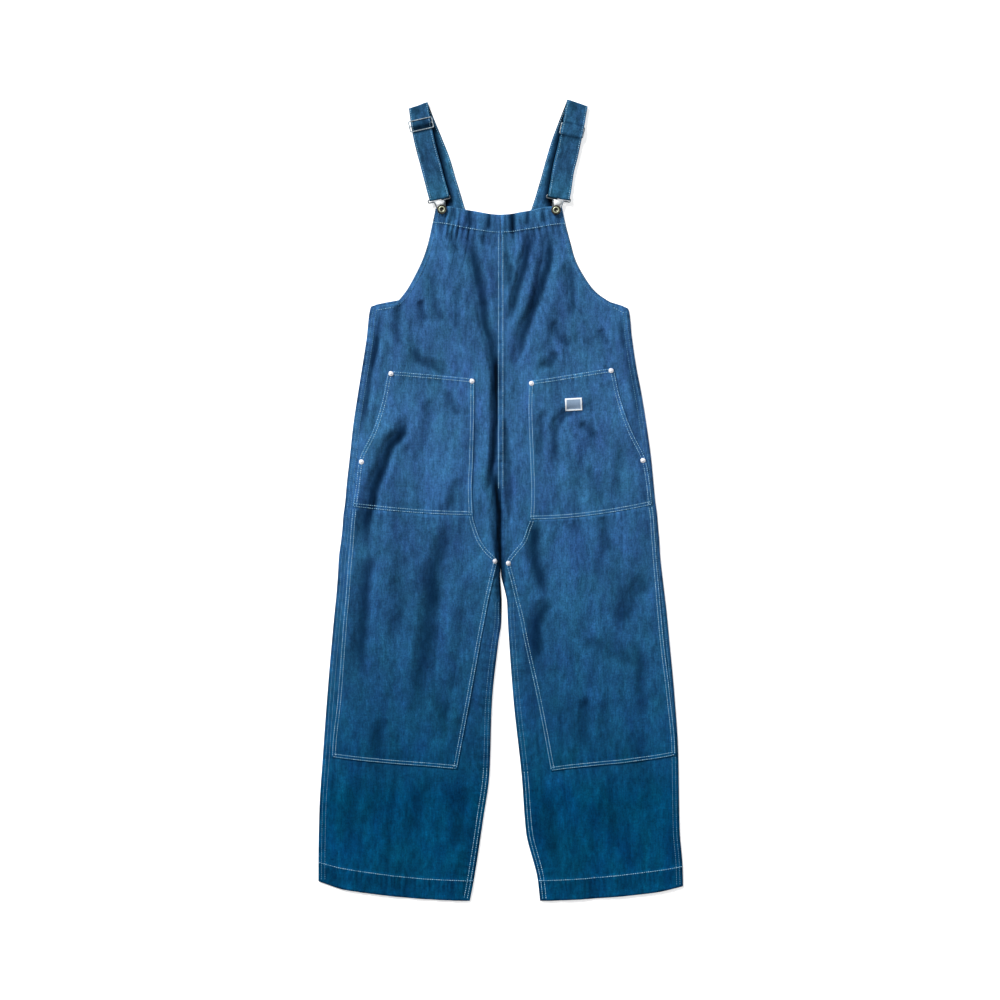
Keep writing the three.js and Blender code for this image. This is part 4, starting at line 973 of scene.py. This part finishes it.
def make_back(pattern):
    """A back panel, and the rows of stitches on its underside, each with the way that it faces."""
    sign, level = pattern.sign, pattern.level
    names = list(level)
    seamed = names[:names.index("sideTop") + 1]
    ins = [pattern.table[names.index(n), 0] for n in seamed] + [(0, y) for y, _ in BACK_TOP_ROWS]
    outs = [pattern.table[names.index(n), 3] for n in seamed]
    outs += [(sign * x, y) for _, (x, y) in BACK_TOP_ROWS]
    ins, outs = np.array(ins, float), np.array(outs, float)
    stops = (ins[:, 1] + outs[:, 1]) / 2
    crotch = stops[names.index("parting")]
    bottom = [stops[0] + e for e in (0, *RIM, BACK_HEM, BACK_HEM + HEM_STEP)]
    upper = [stops[-1] - e for e in (BACK_TOP_HEM, BACK_TOP_HEM - HEM_STEP, *reversed(RIM), 0)]
    levels = spread(bottom + upper, BACK_CELL)
    a, b = curve_through(stops, ins, levels), curve_through(stops, outs, levels)
    width = np.abs(b[:, :1] - a[:, :1])
    in_seam = (levels <= crotch)[:, None]
    at_side = 1 - ease((levels - stops[len(seamed) - 1]) / 12)[:, None]
    start = np.where(in_seam, 1.5, SHUT_GAP / 2 + sign * BACK_SEAM_SHIFT)
    end = width - 1.5 * at_side
    u = np.concatenate([[0, 0.45, 1.3, 4, 7], np.zeros(40), [-7, -4, -1.3, -0.45, 0]])
    on = np.concatenate([np.zeros(5), np.linspace(0.04, 0.96, 40), np.ones(5)])
    d = mix(start, end, on) + u
    x = a[:, :1] + sign * d
    y = mix(a[:, 1:], b[:, 1:], d / width)
    at_outer = at_side * (1 - ease((end - d) / EDGE_ROLL))
    at_inner = in_seam * (1 - ease((d - start) / EDGE_ROLL))
    edge = np.maximum(at_outer, at_inner)
    lift = EDGE_LIFT * 0.75 * edge
    under = lift + BACK_UNDER
    t = levels[:, None] + np.zeros(x.shape)
    hemmed = np.maximum(1 - ease((t - levels[0] - BACK_HEM) / HEM_STEP),
                        ease((t - levels[-1] + BACK_TOP_HEM) / HEM_STEP))
    top = lift + CLOTH + 0.2 * hemmed * (1 - edge)
    edges = np.minimum(end - d, np.minimum(t - levels[0], levels[-1] - t))
    wear_border_and_painted_light = 0.8 * np.exp(-edges / 2.5)
    across = d / width * PANEL_WIDTH
    # Painted shade: thin creases drawn only as darker lines, on cloth that itself lies flat.
    painted_shade = 0.5 * small_creases(across, t, 30, 240, 111) + 0.35 * small_creases(across, t, 17, 100, 113)
    down = np.stack([x * 0, x * 0, x * 0 - 1], -1)
    facing = np.concatenate([stack(x, y, under + SUNK), down], -1)
    seams = np.array([stops[0] + BACK_HEM, stops[-1] - BACK_TOP_HEM + HEM_STEP])
    hem, band = np.searchsorted(levels, seams - 0.1)
    rows = [facing[2:-2, column] for column in (3, 4, -4, -5)] + [facing[row, 2:-2] for row in (hem, band)]
    panel = cloth(f"back_{pattern.side}", stack(x, y, under), stack(x, y, top), np.stack([x - 9, y + 5], -1),
                  DENIM, [f"back_panel_{pattern.side}"], painted_shade, wear_border_and_painted_light)
    return panel, rows


# Straps

class GroundPath:
    """A strap leg's middle line: where it is after a length, and which ways its width and length run."""

    def __init__(self, rows):
        self.rows = np.array(rows, float)
        self.stops = lengths_along(self.rows[:, :2])
        self.length = self.stops[-1]

    def at(self, s):
        x, y, tilt = curve_through(self.stops, self.rows, np.array([s]))[0]
        angle = math.radians(tilt)
        return (np.array([x, y, 0]), np.array([math.cos(angle), math.sin(angle), 0]),
                np.array([math.sin(angle), -math.cos(angle), 0]))


def moved(row, distance):
    x, y, tilt = row
    angle = math.radians(tilt)
    return (x + distance * math.sin(angle), y - distance * math.cos(angle), tilt)


def strap_path(strap):
    rows = list(strap["front"])
    rows[0] = moved(rows[0], FOLD_RADIUS + STRAP_CLOTH / 2)
    rows[-1] = moved(rows[-1], -LOOP_RADIUS - STRAP_CLOTH / 2)
    path = GroundPath(rows)
    return path, path.stops[1], path.length


def strap_stations(strap):
    """The band's stations in order from its sewn end to its tail: place, ways, and travel round loops."""
    path, slider, clip = strap_path(strap)
    top = path.at(0)
    back = GroundPath(list(strap["back"]) + [(top[0][0], top[0][1], strap["front"][0][2])])
    stations = []
    for k in range(BACK_STATIONS + 1):
        place, across, down = back.at(back.length * k / BACK_STATIONS)
        leaving = ease((place[1] - 403) / 9)
        stations.append((place + [0, 0, mix(BAND_ON_BACK, BAND_ON_SURFACE, leaving)], across, down))

    def arc(frame_at, centre, radius, a, b, steps):
        place, across, down = frame_at
        for k in range(1, steps + 1):
            angle = math.radians(mix(a, b, k / steps))
            rise = [0, 0, centre + radius * math.sin(angle)]
            stations.append((place + down * radius * math.cos(angle) + rise, across, down))

    arc(top, BAND_ON_SURFACE + FOLD_RADIUS, FOLD_RADIUS, -90, -270, 10)
    half, wires = strap["slider"]["swell"], strap["slider"]["z"]
    over = wires + OVER_BAR - BAND_UPPER

    def upper(s):
        near = min(abs(s - slider) / half, 1)
        parted = ease((s - clip + LOOP_SOFT) / LOOP_SOFT)
        return (BAND_UPPER + over * math.cos(near * math.pi / 2) ** 2
                + (CLIP["z"] + LOOP_RADIUS - BAND_UPPER) * parted)

    def lower(s):
        return (BAND_LOWER + (CLIP["z"] - LOOP_RADIUS - BAND_LOWER) * ease((s - clip + LOOP_SOFT) / LOOP_SOFT)
                + (wires - WRAP_RADIUS - BAND_LOWER) * ease((slider + BAR_RISE - s) / BAR_RISE))

    for s in spread([0, slider - half, slider + half, clip - LOOP_SOFT, clip], 2.2)[1:]:
        place, across, down = path.at(s)
        stations.append((place + [0, 0, upper(s)], across, down))
    arc(path.at(clip), CLIP["z"], LOOP_RADIUS, 90, -90, 12)
    for s in spread([slider, slider + BAR_RISE, clip - LOOP_SOFT, clip], 3.5)[::-1][1:]:
        place, across, down = path.at(s)
        stations.append((place + [0, 0, lower(s)], across, down))
    arc(path.at(slider), wires, WRAP_RADIUS, -90, -330, 14)
    return stations


def from_slider(strap, points, run):
    """How far each station of the band's upper run is from the slider, and far away elsewhere."""
    path, slider, _ = strap_path(strap)
    place, _, down = path.at(slider)
    start = run[BACK_STATIONS + 10]
    upper = (run >= start) & (run <= start + path.length)
    return np.where(upper, np.abs((points - place) @ down), FAR)


def is_covered(strap):
    """Whether the band lies over the outer bars of its slider."""
    return strap["slider"]["swell"] > SLIDER["pitch"]


def strap_surface(strap):
    """Grids of the band's two faces, and its length so far at each station."""
    stations = strap_stations(strap)
    points = np.array([s[0] for s in stations])
    across = np.array([s[1] for s in stations])
    down = np.array([s[2] for s in stations])
    travel = np.gradient(points, axis=0)
    ahead = (travel * down).sum(1)
    normal = np.stack([-down[:, 0] * travel[:, 2], -down[:, 1] * travel[:, 2], ahead], 1)
    normal /= np.linalg.norm(normal, axis=1)[:, None]
    run = lengths_along(points)
    half = strap["width"] / 2
    inner = [0, 0.45, 1.3, 2.4, 3.6, 5.2, 7.2]
    w = np.array([-half + e for e in inner] + list(np.linspace(-half + 9.5, half - 9.5, 6))
                 + [half - e for e in reversed(inner)])
    edges = half - np.abs(w)
    s = run[:, None] + np.zeros((len(run), len(w)))
    ww = w[None, :] + np.zeros(s.shape)
    seed = 81 if strap["side"] == "left" else 91
    wave = 0.35 * lattice(s, np.zeros(s.shape) + 3, 34, 1, seed)
    middle = points[:, None, :] + across[:, None, :] * (ww + wave)[..., None]
    pulled = 0.24 * bell(edges - 2.6, 1.1)
    crown = 0.3 * ease(edges / 8)
    thick = STRAP_CLOTH / 2 * BAND_EDGE_SHARE - pulled + crown * 0.5
    body = 0.26 * lattice(s, ww, 16, 12, seed + 1) * ease(edges / 4)[None, :]
    behind = (np.arange(len(run)) <= BACK_STATIONS)[:, None]
    ridge = 0.8 * is_covered(strap) * bell(from_slider(strap, points, run) - 8, 2.2)[:, None]
    turns = s / 1.75 + 2 * lattice(s, ww * 0, 26, 1, seed + 2)
    rolls = 0.16 * np.sin(turns) * bell(edges - 1.5, 3)
    n = normal[:, None, :]
    # The face that shows is uneven: the outer one in front, and the inner one on the leg behind.
    outer = middle + n * (thick + (body + rolls) * ~behind + ridge)[..., None]
    inner_face = middle - n * (thick + (body + rolls) * behind)[..., None]
    return inner_face, outer, s, ww, edges


def make_strap(strap):
    inner_face, outer, s, w, edges = strap_surface(strap)
    wear_border_and_painted_light = np.clip(0.8 * np.exp(-edges / 1.6) + 0.2, 0, 1)[None, :] + np.zeros(s.shape)
    path, slider, _ = strap_path(strap)
    line = np.array([path.at(v)[0][:2] for v in np.linspace(0, path.length, 24)])
    away, _, _ = nearest_on(line, outer[..., 0], outer[..., 1])
    behind = np.arange(len(s))[:, None] <= BACK_STATIONS
    clear = np.maximum(np.abs(away) - strap["width"] / 2, 0)
    # Painted shadow: the front leg's shadow darkens the back leg beside it, to nearly black at its edge.
    painted_shade = 2.0 * behind * np.exp(-(clear / 6) ** 1.6)
    # Painted light: the back leg is paler where it lies clear of that painted shadow.
    wear_border_and_painted_light = np.clip(wear_border_and_painted_light + 0.9 * behind * ease((clear - 4) / 9), 0, 1)
    to_slider = from_slider(strap, outer[:, outer.shape[1] // 2], s[:, 0])[:, None]
    # Painted shade: a dark line beside the ridge where the band covers its slider, and a darker band where it
    # runs under an open slider's bars.
    if is_covered(strap):
        uneven = 0.6 + 0.4 * lattice(w, s, 9, 30, 95)
        painted_shade = painted_shade + 1.1 * bell(to_slider - 11.5, 2.0) * uneven
    else:
        painted_shade = painted_shade + 0.7 * (1 - ease((to_slider - 4) / 7)) * ease((w + 40) / 40)
    return cloth(f"band_{strap['side']}", inner_face, outer, np.stack([w + 50, s], -1), STRAP_DENIM,
                 [f"strap_{strap['side']}"], painted_shade, wear_border_and_painted_light)


# Hardware

def wire_loop(points, radius, corner, per_side=6):
    """A closed run of points with its corners rounded."""
    points = np.asarray(points, float)
    count = len(points)
    path = []
    for k in range(count):
        before, at, after = points[k - 1], points[k], points[(k + 1) % count]
        a, b = before - at, after - at
        la, lb = np.linalg.norm(a), np.linalg.norm(b)
        reach = min(corner, la / 2.2, lb / 2.2)
        start, end = at + a / la * reach, at + b / lb * reach
        for q in np.linspace(0, 1, per_side):
            path.append((1 - q) ** 2 * start + 2 * q * (1 - q) * at + q * q * end)
    dense = []
    for p, q in zip(path, path[1:] + path[:1]):
        steps = max(1, int(np.linalg.norm(q - p) / 4))
        dense.extend(p + (q - p) * k / steps for k in range(steps))
    return np.array(dense)


def make_slider(strap):
    path, slider, _ = strap_path(strap)
    place, across, down = path.at(slider)
    half, reach, wire = SLIDER["outer"] / 2 - 1, SLIDER["pitch"], SLIDER["wire"]
    at = lambda w, d, z=0: place + across * w + down * d + [0, 0, strap["slider"]["z"] + z]
    outline = wire_loop([at(-half, -reach), at(half, -reach), at(half, reach), at(-half, reach)], wire, 2.2)
    bar = [at(w, 0) for w in np.linspace(-half, half, 8)]
    identity = np.eye(3)
    mesh = joined(f"slider_wire_{strap['side']}", [
        (tube(outline, wire, WIRE_SIDES, True), identity, 0),
        (tube(bar, wire * 1.05, WIRE_SIDES), identity, 0),
    ])
    return piece(f"slider_wire_{strap['side']}", mesh, STEEL, [f"slider_{strap['side']}"])


def make_clip(strap):
    path, _, clip = strap_path(strap)
    place, across, down = path.at(clip)
    half = strap["width"] / 2 + 2 * SEAM_GAP + CLIP["wire"]
    button = np.array([*strap["button"], 0.0])
    end = np.linalg.norm(button - place)
    towards = (button - place) / end
    slot = SHANK_RADIUS + SEAM_GAP + CLIP["wire"]
    z = np.array([0, 0, CLIP["z"]])

    def at(w, d):
        return place + across * w + mix(down, towards, min(d / end, 1)) * d + z

    shoulder, neck, waist = CLIP["shoulder"], CLIP["neck"], CLIP["waist"]
    sides = [(half, 0), (half, shoulder), (neck, shoulder), (waist, end - 1.5 * slot), (slot, end)]
    loop = [(0, 0)] + sides + [(slot * 0.72, end + slot * 0.72), (0, end + slot)]
    loop += [(-w, d) for w, d in [(slot * 0.72, end + slot * 0.72)] + sides[::-1]]
    outline = wire_loop([at(w, d) for w, d in loop], CLIP["wire"], CLIP["corner"], 4)
    mesh = joined(f"clip_wire_{strap['side']}", [
        (tube(outline, CLIP["wire"], WIRE_SIDES, True), np.eye(3), 0),
    ])
    corners = [(-neck, shoulder), (neck, shoulder), (slot, end - slot), (-slot, end - slot)]
    plate = plate_mesh([at(w, d) for w, d in corners])
    side = strap["side"]
    # The plate's near-white colour is partly painted glare, and the wire's dark colour a painted dark
    # reflection.
    piece(f"clip_plate_{side}", joined(f"clip_plate_{side}", [(plate, np.eye(3), 0)]), GLARE_PAINTED_PLATE)
    return piece(f"clip_wire_{side}", mesh, STEEL_PAINTED_DARK, [f"clip_{side}"])


def plate_mesh(corners):
    """A flat plate with those corners and slightly eased edges."""
    bm = bmesh.new()
    face = bm.faces.new([bm.verts.new(Vector(c) - Vector((0, 0, PLATE_SIZE["thick"] / 2))) for c in corners])
    made = bmesh.ops.extrude_face_region(bm, geom=[face], use_keep_orig=True)
    raised = [v for v in made["geom"] if isinstance(v, bmesh.types.BMVert)]
    bmesh.ops.translate(bm, verts=raised, vec=(0, 0, PLATE_SIZE["thick"]))
    bmesh.ops.bevel(bm, geom=bm.edges[:], offset=PLATE_SIZE["edge"], segments=2, affect="EDGES")
    bmesh.ops.recalc_face_normals(bm, faces=bm.faces[:])
    return bm


def seat_on(tree, x, y, radius):
    """The height just clear of the cloth under a disc, and the way the cloth faces there."""
    around = [(x, y)] + [(x + radius * math.cos(a), y + radius * math.sin(a))
                         for a in np.linspace(0, 2 * math.pi, 9)[:-1]]
    heights = np.array([height_on(tree, *p) for p in around])
    plane = np.array([[1, px - x, py - y] for px, py in around])
    fit = np.linalg.lstsq(plane, heights, rcond=None)[0]
    lift = (heights - plane[:, 1:] @ fit[1:]).max()
    normal = Vector((-fit[1], -fit[2], 1)).normalized()
    return lift, normal


def height_on(tree, x, y):
    hit = tree.ray_cast(Vector(((x - MIDDLE[0]) / 1000, (y - MIDDLE[1]) / 1000, 0.2)), Vector((0, 0, -1)))
    return hit[0].z * 1000 if hit[0] else 0.0


def tree_of(bodies):
    points, faces, base = [], [], 0
    for body in bodies:
        mesh = body.data
        points.extend(v.co.copy() for v in mesh.vertices)
        faces.extend([base + i for i in p.vertices] for p in mesh.polygons)
        base += len(mesh.vertices)
    return BVHTree.FromPolygons(points, faces)


def axes_to(normal):
    return np.array(Vector((0, 0, 1)).rotation_difference(normal).to_matrix().transposed())


# Stitches

def stitch_template():
    """One stitch, a grain one long and one across, along X."""
    bm = bmesh.new()
    bmesh.ops.create_uvsphere(bm, u_segments=6, v_segments=4, radius=0.5)
    bmesh.ops.rotate(bm, verts=bm.verts[:], cent=(0, 0, 0), matrix=Matrix.Rotation(math.pi / 2, 3, "Y"))
    for v in bm.verts:
        if abs(v.co.x) < 0.4:
            v.co.x *= 1.12
    return bm


def path_point(lengths, values, s):
    """The values, column by column, after that length of a path."""
    return np.array([np.interp(s, lengths, column) for column in values.T])


def stitch_rows(name, tree, rows):
    """Lays a row of stitches on the cloth along each path, and joins them into one piece."""
    template = bpy.data.meshes.new(name + "_grain")
    bm = stitch_template()
    bm.to_mesh(template)
    bm.free()
    grain = points_of(template)
    sizes = [len(p.vertices) for p in template.polygons]
    corners = np.concatenate([list(p.vertices) for p in template.polygons])
    bpy.data.meshes.remove(template)
    shapes = []
    chance = np.random.default_rng(SEED_STITCHES)
    for path in rows:
        path = np.asarray(path, float)
        on_cloth = path.shape[1] == 2
        lengths = lengths_along(path[:, :3])
        count = int(lengths[-1] / STITCH)
        if count < 1:
            continue
        for s in (np.arange(count) + 0.5) * lengths[-1] / count:
            ends, up = [], (0, 0, 1)
            for stop in (s - STITCH_LENGTH / 2, s + STITCH_LENGTH / 2):
                place = path_point(lengths, path[:, :3], stop)
                ends.append(np.array([*place, height_on(tree, *place)]) if on_cloth else place)
            if not on_cloth:
                up = path_point(lengths, path[:, 3:], s)
            shapes.append(stitch_shape(grain, *ends, up, chance))
    points = np.concatenate(shapes)
    total = len(shapes)
    mesh = bpy.data.meshes.new(name)
    faces_each = len(sizes)
    mesh.vertices.add(len(points))
    mesh.loops.add(len(corners) * total)
    mesh.polygons.add(faces_each * total)
    offsets = np.arange(total)[:, None] * len(grain)
    mesh.loops.foreach_set("vertex_index", (corners[None, :] + offsets).ravel())
    firsts = np.concatenate([[0], np.cumsum(sizes)[:-1]])
    starts = firsts[None, :] + np.arange(total)[:, None] * len(corners)
    mesh.polygons.foreach_set("loop_start", starts.ravel())
    mesh.update(calc_edges=True)
    finish_mesh(mesh, points)
    mesh.validate()
    return mesh


def stitch_shape(grain, a, b, up, chance):
    run = b - a
    length = np.linalg.norm(run)
    run = run / length
    side = np.cross(np.asarray(up, float), run)
    side /= np.linalg.norm(side)
    up = np.cross(run, side)
    wide = 2 * THREAD * chance.uniform(0.9, 1.1)
    skew = chance.uniform(-0.07, 0.07)
    along = grain[:, 0] * length
    local = np.stack([along, grain[:, 1] * wide + along * skew, grain[:, 2] * wide], 1)
    middle = (a + b) / 2 + up * THREAD * 0.45
    return middle + local[:, :1] * run + local[:, 1:2] * side + local[:, 2:] * up


# Everything, side by side

RIGHT = Pattern("right", -1, RIGHT_ROWS)
LEFT = Pattern("left", 1, LEFT_ROWS)
made, back_rows = {}, {}
for pattern in (RIGHT, LEFT):
    side = pattern.side
    made["front_" + side] = make_front(pattern)
    made["back_" + side], back_rows[side] = make_back(pattern)
    made["pocket_" + side] = make_patch(pattern, "patch_pocket", "pocketBottom", "pocketTop", "pocket")
    made["knee_" + side] = make_patch(pattern, "patch_knee", "kneeBottom", "pocketBottom", "knee_patch")
for strap in (RIGHT_STRAP, LEFT_STRAP):
    made["band_" + strap["side"]] = make_strap(strap)
    make_slider(strap)
    make_clip(strap)

fronts = tree_of([made[k] for k in made if k.startswith(("front", "pocket", "knee"))])
panels_only = tree_of([made["front_right"], made["front_left"]])


def panel_rows(pattern):
    """Stitch rows on the panel itself: hem, bib hem, lower inseam, centre seam and side top."""
    level = pattern.level
    rows = [
        pattern.row_line(level["hemStitch"], (0, 0.02), (2, 0.98), -1.2),
        pattern.row_line(level["bibStitch"], (0, 0.02), (2, 0.98), 1.0),
        pattern.line(0, level["hem"] + 3, level["kneeBottom"] + 8, 5.2),
        pattern.line(0, level["hem"] + 3, level["kneeBottom"] + 8, 11),
    ]
    beside_centre = -3.4 if pattern.side == "right" else 4.2
    rows.append(np.array([(beside_centre, y) for y in np.linspace(20, 464, 40)]))
    corner = pattern.points(np.array([level["sideTop"], level["armholeLow"]]))
    a, b = corner[0, 3], corner[1, 3]
    rows.append(np.linspace(a + [-pattern.sign * 7.5, -7], b + [0, -7.5], 8))
    return rows


def seam_rows(pattern):
    """Faded rows beside the side seam, armhole and upper inseam, and at the bib's top."""
    bottom, top = pattern.level["hem"] + 3, pattern.level["sideTop"] - 4
    rows = [pattern.line(3, bottom, top, -inset) for inset in (5.6, 11.5)]
    armhole = pattern.level["armholeLow"] + 2
    rows += [pattern.line(3, armhole, pattern.top - 3, -inset) for inset in (1.8, 7.5)]
    knee, thigh = pattern.level["kneeBottom"] + 10, pattern.level["thigh"]
    rows += [pattern.line(0, knee, thigh, inset) for inset in (5.2, 11)]
    rows.append(pattern.row_line(pattern.top, (1, 0.1), (2, 0.96), -1.6))
    return rows


def patch_rows(pattern):
    """Two rows round each pocket and knee patch."""
    level = pattern.level
    bottom, top, knee = level["pocketBottom"], level["pocketTop"], level["kneeBottom"]
    rows = []
    for inset in (1.7, 6.6):
        near, far = inset, -inset
        rows.append(pattern.line(1, bottom + 4, top - 5, near))
        rows.append(pattern.line(2, bottom + 2, top - 5, far))
        rows.append(pattern.row_line(top, (1, 0.03), (1, 0.97), -inset))
        rows.append(pattern.row_line(bottom, (1, 0.01), (1, 0.99), inset))
        rows.append(pattern.line(1, knee + 3, level["crotch"] - 5, near))
        rows.append(pattern.line(1, level["crotch"] + 3, bottom - 1, near, 6))
        rows.append(pattern.line(2, knee + 3, bottom - 3, far))
        rows.append(pattern.row_line(knee, (1, 0.01), (1, 0.99), inset))
    return rows


def strap_rows(strap):
    """A row near each edge of the band, on its inner face behind and on its outer face in front."""
    inner_face, outer, _, _, _ = strap_surface(strap)
    middle = outer.shape[1] // 2
    rows = []
    behind, before = slice(0, BACK_STATIONS + 1), slice(BACK_STATIONS, None)
    for face, part, way in ((inner_face, behind, -1), (outer, before, 1)):
        for column, side in ((3, 1), (-4, -1)):
            points = face[part, column]
            normal = np.cross(face[part, middle] - points, np.gradient(points, axis=0)) * way * side
            normal /= np.linalg.norm(normal, axis=1)[:, None]
            rows.append(np.concatenate([points - 0.1 * normal, normal], axis=1))
    return rows


sewing = {
    "stitches_panels": [r for p in (RIGHT, LEFT) for r in panel_rows(p)],
    "stitches_seams": [r for p in (RIGHT, LEFT) for r in seam_rows(p)],
    "stitches_patches": [r for p in (RIGHT, LEFT) for r in patch_rows(p)],
    "stitches_straps": [r for strap in (RIGHT_STRAP, LEFT_STRAP) for r in strap_rows(strap)],
    "stitches_back": back_rows["right"] + back_rows["left"],
}
for name, rows in sewing.items():
    on_panels = name in ("stitches_panels", "stitches_seams")
    mesh = stitch_rows(name, panels_only if on_panels else fronts, rows)
    made[name] = piece(name, mesh, FADED_THREAD if name == "stitches_seams" else THREAD_FINISH)


def make_rivets():
    profile = [(0, -0.6), (4.3, -0.6), (4.4, 0.0), (4.25, 0.5), (3.7, 0.85), (3.0, 0.95), (2.5, 1.05),
               (2.1, 1.45), (1.5, 1.85), (0.8, 2.0), (0, 2.05)]
    parts, nodes = [], []
    for pattern in (RIGHT, LEFT):
        sign, side = pattern.sign, pattern.side
        rows = LEFT_ROWS if side == "left" else RIGHT_ROWS
        spots = {
            "pocket_inner": (rows["pocketTop"][1], 4.6, -5.0),
            "pocket_outer": (rows["pocketTop"][2], -4.6, -5.4),
            "pocket_low": (rows["slantEnd"][2], -5.6, 0.0),
            "crotch": (rows["crotch"][1], 4.2, -1.0),
        }
        for name, ((x, y), dx, dy) in spots.items():
            x, y = x + sign * dx, y + dy
            lift, normal = seat_on(fronts, x, y, RIVET_SEAT)
            parts.append((turned(profile, RIVET_STEPS), axes_to(normal), np.array([x, y, lift])))
            nodes.append(f"rivet_{name}_{side}")
    return piece("rivets", joined("rivets", parts), RIVET_METAL, nodes)


def make_button(strap):
    x, y = strap["button"]
    lift, _ = seat_on(panels_only, x, y, SHANK_RADIUS)
    base = CLIP["z"] + CLIP["wire"] + SEAM_GAP
    dish = [(0, lift), (SHANK_RADIUS, lift), (SHANK_RADIUS, base), (7.0, base), (8.1, base + 0.3),
            (8.5, base + 0.9), (8.3, base + 1.6), (7.6, base + 2.0), (6.7, base + 1.8), (6.1, base + 1.3),
            (3.2, base + 1.3), (2.8, base + 0.5), (0, base + 0.4)]
    ring = [(3.4, base + 1.2), (3.5, base + 2.1), (3.9, base + 2.65), (4.4, base + 2.8), (5.1, base + 2.6),
            (5.7, base + 2.0), (5.8, base + 1.2)]
    side = strap["side"]
    place = np.array([x, y, 0])
    loose = joined(f"tack_ring_{side}", [(turned(ring + ring[:1], BUTTON_STEPS), np.eye(3), place)])
    piece(f"tack_ring_{side}", loose, PALE_BRONZE)
    mesh = joined(f"tack_button_{side}", [(turned(dish, BUTTON_STEPS), np.eye(3), place)])
    return piece(f"tack_button_{side}", mesh, DARK_BRONZE, [f"button_{side}"])


def make_label():
    turn = math.radians(LABEL["tilt"])
    tree = tree_of([made["pocket_left"]])
    border = [0, 0.4, 1.2, 2.2, 3.0]
    spans = []
    for size in (LABEL["width"], LABEL["height"]):
        half = size / 2
        middle = np.linspace(-half + 4.5, half - 4.5, 10)
        edges = np.array(border)
        spans.append(np.concatenate([edges - half, middle, half - edges[::-1]]))
    across, up = np.meshgrid(*spans)
    x = LABEL["x"] + across * math.cos(turn) - up * math.sin(turn)
    y = LABEL["y"] + across * math.sin(turn) + up * math.cos(turn)
    z = np.vectorize(lambda a, b: height_on(tree, a, b))(x, y) + 0.25
    edge = np.minimum(LABEL["width"] / 2 - np.abs(across), LABEL["height"] / 2 - np.abs(up))
    frame_line = 1 - ease((edge - 2.2) / 0.8)
    top = z + LABEL["cloth"] + 0.15 * frame_line
    return cloth("woven_label", stack(x, y, z), stack(x, y, top), np.stack([across, up], -1), LABEL_FINISH,
                 ["label"], None, frame_line)


make_rivets()
for strap in (RIGHT_STRAP, LEFT_STRAP):
    make_button(strap)
made["label"] = make_label()

# Surface, light and camera

def make_floor():
    bm = bmesh.new()
    bmesh.ops.create_grid(bm, x_segments=2, y_segments=2, size=6)
    mesh = bpy.data.meshes.new("floor")
    bm.to_mesh(mesh)
    bm.free()
    floor = bpy.data.objects.new("floor", mesh)
    floor.location.z = -0.0005
    bpy.context.scene.collection.objects.link(floor)
    n = Nodes("pale_floor")
    n.surface(Base_Color=(0.9, 0.9, 0.9, 1), Roughness=0.9, Emission_Color=(1, 1, 1, 1),
              Emission_Strength=0.5)
    mesh.materials.append(n.material)


def make_sun(name, direction, softness, strength):
    data = bpy.data.lights.new(name, "SUN")
    data.angle = math.radians(softness)
    data.energy = strength
    light = bpy.data.objects.new(name, data)
    light.rotation_euler = (-Vector(direction)).to_track_quat("-Z", "Y").to_euler()
    bpy.context.scene.collection.objects.link(light)


make_floor()
make_sun("key", (-0.62, 0.74, 0.6), 24, 4.8)
make_sun("fill", (0.8, 0.4, 0.9), 50, 0.7)

world = bpy.data.worlds.new("studio")
world.use_nodes = True
world.node_tree.nodes["Background"].inputs[0].default_value = (1, 1, 1, 1)
world.node_tree.nodes["Background"].inputs[1].default_value = 0.25
bpy.context.scene.world = world
bpy.context.scene.view_settings.view_transform = "Standard"

camera_data = bpy.data.cameras.new("camera")
camera_data.lens = 85
camera_data.sensor_width = 36
camera_data.clip_end = 50
camera = bpy.data.objects.new("camera", camera_data)
camera.location = (-0.001375, 0.00015, 1.75 * 85 / 36)
bpy.context.scene.collection.objects.link(camera)
bpy.context.scene.camera = camera

SHEETS = {
    "front_right": (0.34, 1.25, 0.340), "front_left": (0.34, 1.25, 0.335),
    "back_right": (0.34, 1.14, 0.310), "back_left": (0.34, 1.14, 0.305),
    "pocket_right": (0.23, 0.27, 0.046), "pocket_left": (0.23, 0.27, 0.046),
    "knee_right": (0.27, 0.47, 0.100), "knee_left": (0.27, 0.47, 0.100),
    "band_right": (0.035, 0.64, None), "band_left": (0.038, 0.66, None),
    "label": (0.0295, 0.022, None),
}
LIES_ON = {"front": "back_{}", "pocket": "front_{}", "knee": "front_{}", "band": "back_{}"}
for name, (width, length, area) in SHEETS.items():
    kind, _, side = name.partition("_")
    below = [LIES_ON[kind].format(side)] if kind in LIES_ON else []
    below = ["patch_pocket_left"] if name == "label" else below
    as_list(below)
